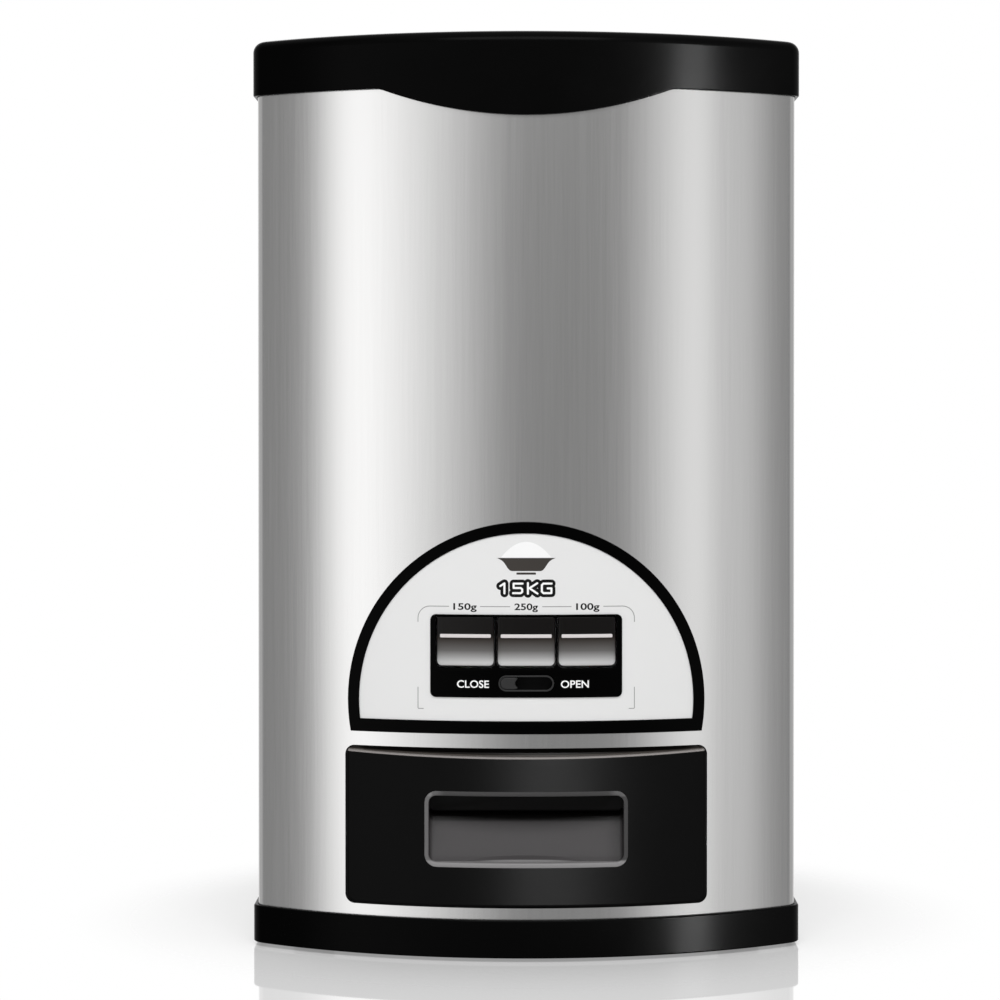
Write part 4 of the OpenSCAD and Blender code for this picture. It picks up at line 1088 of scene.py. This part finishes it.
# screws, feet and springs, set down by geometry nodes

screw = {"point": (0.3, 1.2), "shank": 1.5, "socket": 1.2124, "deep": 1.2, "sides": 24,
         "head": ((3.0, 0), (3.1, 0.15), (3.1, 0.8), (2.85, 1.4), (2.4, 1.8), (1.9, 2.0))}


def turnedRings(rows, sides=48):  # round sections: radius and height
    return [[(x, y, z) for x, y in circle(r, sides)] for r, z in rows]


def screwMesh(length):  # domed head with a hexagon socket, and a shank with a point
    tip, taper = screw["point"]
    rows = [(tip, -length), (screw["shank"], taper - length), (screw["shank"], 0), *screw["head"]]
    reach = [screw["socket"] / math.cos(math.radians((360 * k / screw["sides"] + 30) % 60 - 30))
             for k in range(screw["sides"])]
    hexagon = [(r * x, r * y) for r, (x, y) in zip(reach, circle(1.0, screw["sides"]))]
    top = screw["head"][-1][1]
    socket = [[(x, y, z) for x, y in hexagon] for z in (top, top - screw["deep"])]
    return capped("screwShape", turnedRings(rows, screw["sides"]) + socket)


def setOut(name, shape, places, turn, body, slot, nodes):  # one shape at every place, kept as one piece
    part = looseObject("part", shape)
    values = {"Part": part, "Turn": turn, "Finish": finishes[slot]}
    mesh = grown(name, loose("places", places), setDown, values)
    bpy.data.objects.remove(part)
    keep(name, mesh, body, slot, nodes)


def mirrored(x, rows):
    return [(side * x, y, z) for side in (-1, 1) for y, z in rows]


faceUp, faceDown, faceBack = (0, 0, 0), (math.pi, 0, 0), (-math.pi / 2, 0, 0)
screwSets = {  # where the heads sit, how they turn, shank length, body
    "base_screws": (mirrored(107, ((-70, 6), (95, 6))), faceDown, 9.0, "cabinet"),
    "back_screws": (mirrored(129, [(160, 40 + k * 125) for k in range(4)]), faceBack, 3.3, "cabinet"),
    "deck_screws": (mirrored(107, ((-70, 116), (95, 116))), faceUp, 8.0, "cabinet"),
    "housing_screws": (mirrored(70, ((-122.2, 119), (-18.2, 119))), faceUp, 6.0, "cabinet"),
    "liner_screws": (mirrored(115, ((-80, 481), (20, 481), (110, 481))), faceDown, 3.5, "lid"),
    "drawer_screws": (mirrored(79, ((-127.02, 42), (-127.02, 90))), faceBack, 9.0, "drawer"),
}
for node, (places, turn, length, body) in screwSets.items():
    setOut(node.replace("_s", "S"), screwMesh(length), places, turn, body, "fastener", [node])

feet = {"places": mirrored(115, ((bowY(115) + 26, 0), (130, 0))), "treads": (
    (0.3, 0.9), (3.0, 0.9), (3.4, 0.0), (4.8, 0.0), (5.2, 0.9), (6.6, 0.9), (7.0, 0.0), (9.6, 0.0),
    (10.6, 0.5), (11.0, 1.6), (11.0, 5.95), (0.3, 5.95))}
setOut("rubberFeet", capped("footShape", turnedRings(feet["treads"])), feet["places"], faceUp, "cabinet",
       "foot_rubber", ["foot_front_left", "foot_front_right", "foot_back_left", "foot_back_right"])

wireRadius = 0.5 * mm
for weight in keyNames:
    low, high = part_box("gate_spring_" + weight)
    foot = Vector(((low.x + high.x) / 2, high.y - wireRadius, (low.z + high.z) / 2))
    values = {"Length": high.y - low.y - 2 * wireRadius, "Turn": (math.pi / 2, 0, 0), "Foot": foot,
              "Finish": finishes["spring_wire"]}
    mesh = grown("spring", loose("places", [(0, 0, 0)]), coil, values)
    spring = keep("gateSpring" + weight, mesh, "cabinet", "spring_wire", ["gate_spring_" + weight])
    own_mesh(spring)  # its own copy of the mesh
print("screws, feet and springs done")

# the mouldings inside, and what stays as it came

softened = {"top_rim": ("black_gloss", "cabinet", 0.4), "hopper": ("milky_plastic", "cabinet", 0.4),
            "metering_housing": ("milky_plastic", "cabinet", 0.3), "deck": ("dark_frame", "cabinet", 0.3),
            "lid_liner": ("dark_frame", "lid", 0.5)}
for node, (slot, body, width) in softened.items():
    words = node.split("_")
    name = words[0] + "".join(w.capitalize() for w in words[1:]) + "Soft"
    keep(name, softCopy(node, width), body, slot, [node], fair=levelNormals)
for part in frame["record"]["subparts"]:
    node, finish = cad[part["node"]], finishes[part["material_slot"]]
    node.data.materials.clear()
    node.data.materials.append(hiddenBlack if part["node"] == "shutoff_plate" else finish)
print("inner mouldings done")

# lettering and pictogram, laid on the panel

prints = {"fascia": -0.7, "console": -1.5, "thick": 0.06, "sunk": 0.02}  # insets of the faces they lie on
label = (184.7, 3.5, 12.3, 0.10, "dark", "fascia")
words = {  # words, middle, foot line, height, width, bold, ink, face
    "label150": ("150g", -32.1, *label),
    "label250": ("250g", 0.0, *label),
    "label100": ("100g", 32.3, *label),
    "closeWord": ("CLOSE", -27.9, 143.9, 4.0, 16.8, 0.08, "white", "console"),
    "openWord": ("OPEN", 25.5, 143.9, 4.0, 14.7, 0.08, "white", "console"),
}
capital = 0.73  # capitals stand at about this share of the type size


def glyphs(body, height, bold):  # type grown by bold, then pressed to the thickness of a print
    text = bpy.data.curves.new(body, "FONT")
    text.body = body
    text.size = height / capital
    text.bevel_depth = bold
    text.bevel_resolution = 2
    text.resolution_u = 4
    bm = welded(bakedMesh(looseObject(body, text)), 0.002)
    for v in bm.verts:
        v.co.z *= prints["thick"] / (2 * bold)
    return bm


def wordMesh(name, body, x, z, height, width, bold, face):
    bm = glyphs(body, height, bold)
    low, high = reachX(bm)
    for v in bm.verts:
        v.co = (x + (v.co.x - (low + high) / 2) * width / (high - low), face - v.co.z, z + v.co.y)
    return meshFrom(bm, name, 2.0)


for name, (body, x, z, height, width, bold, ink, face) in words.items():
    keep(name, wordMesh(name, body, x, z, height, width, bold, prints[face]), "cabinet",
         "fascia_grey" if face == "fascia" else "black_gloss", finish=inks[ink])

capacity = {"white": 0.52, "dark": 2.1, "lift": 0.003, "strokes": (
    ((-13.6, 197.2), (-11.4, 198.6), (-11.4, 193.4)),
    ((-1.9, 198.5), (-6.6, 198.5), (-6.6, 196.2), (-2.9, 196.2), (-2.1, 195.5), (-2.1, 194.1), (-2.9, 193.5),
     (-6.9, 193.5)),
    ((0.9, 198.8), (0.9, 193.2)), ((5.8, 198.7), (1.7, 196.1), (5.9, 193.3)),
    ((13.3, 198.5), (9.0, 198.5), (8.2, 197.7), (8.2, 194.3), (9.0, 193.5), (13.2, 193.5), (13.2, 196.0),
     (11.2, 196.0)))}


def capsule(a, b, r):  # the outline of a stroke with round ends
    turn = math.atan2(b[1] - a[1], b[0] - a[0])
    return [(x + r * math.cos(t), z + r * math.sin(t))
            for (x, z), side in ((b, -math.pi / 2), (a, math.pi / 2)) for t in halfTurn(turn + side, 12)]


def lettersFrom(name, radius, front):  # 15KG, stroke by stroke
    made = []
    for line in capacity["strokes"]:
        for a, b in zip(line, line[1:]):
            made.append(plate(name, [capsule(a, b, radius)], front - capacity["lift"] * len(made), panelBack))
    return joined(name, *made)


def keepPrint(name, mesh, ink):
    keep(name, mesh, "cabinet", "fascia_grey", finish=inks[ink])


panelFace = prints["fascia"]
panelBack = panelFace + prints["sunk"]
keepPrint("capacityOutline", lettersFrom("capacityOutline", capacity["dark"], panelFace - 0.03), "dark")
keepPrint("capacityLetters", lettersFrom("capacityLetters", capacity["white"], panelFace - 0.12), "white")

bowl = {"side": ((15.35, 211.9), (13.8, 211.2), (12.4, 210.3), (11.5, 209.3), (10.7, 208.1), (10.1, 207.2),
                 (9.4, 206.2), (8.6, 205.4), (7.6, 205.05)), "heapLow": 212.2, "heapTop": 220.4,
        "halfHeap": 13.2, "barTop": 204.3, "barLow": 203.2, "halfBar": 5.1, "thick": 0.05}
dish = [(-x, z) for x, z in reversed(bowl["side"])] + list(bowl["side"])
heapRise = bowl["heapTop"] - bowl["heapLow"]
across = [1 - k / 20 for k in range(41)]
heap = [(bowl["halfHeap"] * t, bowl["heapLow"] + heapRise * (1 - t ** 2)) for t in across]
high, low = bowl["barTop"], bowl["barLow"]
bar = roundLoop(0, (high + low) / 2, 2 * bowl["halfBar"], high - low, 0.3, 3)
front = panelFace - bowl["thick"]
keepPrint("bowlPrint", plate("bowlPrint", [dish, bar], front, panelBack), "warm")
keepPrint("heapPrint", plate("heapPrint", [heap], front, panelBack), "white")

rule = {"z": 186.4, "x": 56.9, "radius": 6.3, "top": 178.0, "lowTop": 143.8, "low": 132.5, "foot": 3.0,
        "width": 0.42, "thick": 0.04, "turn": 0.2, "start": 40.5, "between": ((-24.2, -8.4), (8.4, 23.7))}


def ribbon(points, width):  # the outline of a thin line
    sides = ([], [])
    for k, (x, z) in enumerate(points):
        ax, az = points[max(k - 1, 0)]
        bx, bz = points[min(k + 1, len(points) - 1)]
        far = math.hypot(bx - ax, bz - az)
        nx, nz = -(bz - az) / far * width / 2, (bx - ax) / far * width / 2
        sides[0].append((x + nx, z + nz))
        sides[1].append((x - nx, z - nz))
    return sides[0] + list(reversed(sides[1]))


x, z, r, low, nick = (rule[key] for key in ("x", "z", "radius", "low", "turn"))
bow = [(x - r + r * math.sin(t), z - r + r * math.cos(t)) for t in arcSteps(8)]
upper = [(rule["start"], z), *bow, (x, rule["top"])]
lower = [(x, rule["lowTop"]), (x, low + nick), (x - nick, low), (x - rule["foot"], low)]
lines = [[(a, z), (b, z)] for a, b in rule["between"]]
lines += [[(side * px, pz) for px, pz in points] for side in (-1, 1) for points in (upper, lower)]
ribbons = [ribbon(points, rule["width"]) for points in lines]
keepPrint("panelLines", plate("panelLines", ribbons, panelFace - rule["thick"], panelBack), "grey")
print("lettering done")

# camera, light and ground

view = {"away": 1.760, "eye": 0.2902, "lens": 110.05, "down": 0.592, "shiftX": -0.0262, "shiftY": -0.060}
cameraData = bpy.data.cameras.new("camera")
camera = looseObject("camera", cameraData)
cameraData.lens = view["lens"]
cameraData.sensor_width = 36.0
cameraData.shift_x = view["shiftX"]
cameraData.shift_y = view["shiftY"]
cameraData.clip_end = 50.0
camera.location = (0, -view["away"], view["eye"])
camera.rotation_euler = (math.radians(90 - view["down"]), 0, 0)
bpy.context.scene.camera = camera
bpy.context.scene.view_settings.view_transform = "Standard"

lamps = {  # azimuth from the front, elevation, distance, width, tall, power, pieces it lights (all if none)
    "overhead": (0, 42, 1.9, 1.2, 0.7, 19.0, ()),
    "blackStrip": (45, 0, 1.7, 0.26, 1.0, 77.5, ("lidShell", "baseTray")),
    "drawerSoft": (7, 3, 2.3, 0.8, 1.8, 88.0, ("drawerFront",)),
}
lampAim = Vector((0, 0, 0.2))
for name, (azimuth, up, far, width, tall, power, lit) in lamps.items():
    lampData = bpy.data.lights.new(name, "AREA")
    lampData.shape = "RECTANGLE"
    lampData.size = width
    lampData.size_y = tall
    lampData.energy = power
    lamp = looseObject(name, lampData)
    lamp.visible_camera = False
    a, e = math.radians(azimuth), math.radians(up)
    away = Vector((math.sin(a) * math.cos(e), -math.cos(a) * math.cos(e), math.sin(e)))
    lamp.location = lampAim + far * away
    lamp.rotation_euler = (-away).to_track_quat("-Z", "Y").to_euler()
    if lit:  # a strip that only some pieces see, and that the floor doesn't hide
        group = bpy.data.collections.new(name + "Lit")
        for piece in lit:
            group.objects.link(pieces[piece])
        lampData.cycles.use_multiple_importance_sampling = False
        lamp.light_linking.receiver_collection = group
        lamp.light_linking.blocker_collection = group

studio = {"room": 0.325, "backdrop": 1.0, "diffuse": 0.55, "ceiling": 0.75,  # levels; white is 1
          "backdropFrom": (0.5, 0.95), "ceilingFrom": (0.7, 0.95),
          "boxes": (((-64, -52), (-47, -4), 1.45), ((26, 50), (50, 57), 1.16), ((54, 60), (64, 74), 0.58),
                    ((-135, -112), (-106, -90), 0.3), ((90, 106), (112, 135), 0.3)),  # rise, fall, level
          "boxHeight": (0.18, 0.27), "boxFaint": 0.55}


def ramp(recipe, value, low, high):
    return recipe.node("ShaderNodeMapRange", None, {"Value": value, "From Min": low, "From Max": high})


def studioLevel(recipe, vector):  # what shiny parts see in a direction: soft boxes and a pale backdrop
    x, y, z = recipe.axes(recipe.node("ShaderNodeVectorMath", {"operation": "NORMALIZE"}, {0: vector}))
    azimuth = x.sum("ARCTAN2", x, 0 - y) * (180 / math.pi)
    level = ramp(recipe, y, *studio["backdropFrom"]).between(studio["room"], studio["backdrop"])
    level = level + ramp(recipe, z, *studio["ceilingFrom"]) * studio["ceiling"]
    share = 1 - ((z * z) ** 0.5).ease(*studio["boxHeight"]) * studio["boxFaint"]  # they fade up and down
    for rise, fall, bright in studio["boxes"]:
        level = level + ramp(recipe, azimuth, *rise) * (1 - ramp(recipe, azimuth, *fall)) * share * bright
    return level


def rayKinds(recipe):
    outputs = recipe.node("ShaderNodeLightPath").socket.node.outputs
    return [Wire(recipe, outputs["Is " + kind + " Ray"]) for kind in ("Camera", "Glossy", "Transmission")]


world = bpy.data.worlds.new("studio")
bpy.context.scene.world = world
recipe = emptied(world)
ray, glossy, through = rayKinds(recipe)
shiny = studioLevel(recipe, recipe.node("ShaderNodeTexCoord", out="Generated"))
level = ray + (1 - ray) * (glossy * shiny + (1 - glossy) * (through + (1 - through) * studio["diffuse"]))
background = recipe.node("ShaderNodeBackground", None, {"Color": (1, 1, 1, 1), "Strength": level})
recipe.node("ShaderNodeOutputWorld", None, {"Surface": background})

floor = {"reach": 6000, "matt": 0.96, "paleNear": 0.4, "paleFrom": (0.17, 0.27), "glass": 1.5, "smooth": 0.03,
         "mirrorTo": (0.3, 0.6)}
solid = Solid()
solid.faces.append(tuple(solid.ring([(floor["reach"] * x, floor["reach"] * y, 0)
                                     for x, y in ((-1, -1), (1, -1), (1, 1), (-1, 1))])))
ground = looseObject("ground", solid.mesh("ground", recalc=False))
floorFinish = bpy.data.materials.new("paleFloor")
recipe = emptied(floorFinish)
ray, glossy, through = rayKinds(recipe)
away = recipe.node("ShaderNodeVectorMath", {"operation": "LENGTH"}, {0: recipe.place()}, out="Value")
sheen = recipe.node("ShaderNodeFresnel", None, {"IOR": floor["glass"]})
matt = recipe.node("ShaderNodeBsdfDiffuse", None, {"Color": tone(floor["matt"])})
white = recipe.node("ShaderNodeEmission", None, {"Color": tone(1.0), "Strength": 1.0})
polish = recipe.node("ShaderNodeBsdfGlossy", None, {"Color": tone(1.0), "Roughness": floor["smooth"]})
pale = ray * away.ease(*floor["paleFrom"]).between(floor["paleNear"], 1.0)
paler = recipe.node("ShaderNodeMixShader", None, {0: pale, 1: matt, 2: white})
mirror = sheen * ray * (1 - away.ease(*floor["mirrorTo"]))
seen = recipe.node("ShaderNodeMixShader", None, {0: mirror, 1: paler, 2: polish})
recipe.node("ShaderNodeOutputMaterial", None, {"Surface": seen})
ground.visible_glossy = False  # shiny parts see the studio below the floor line as above it
ground.data.materials.append(floorFinish)
print("camera, light and ground done")
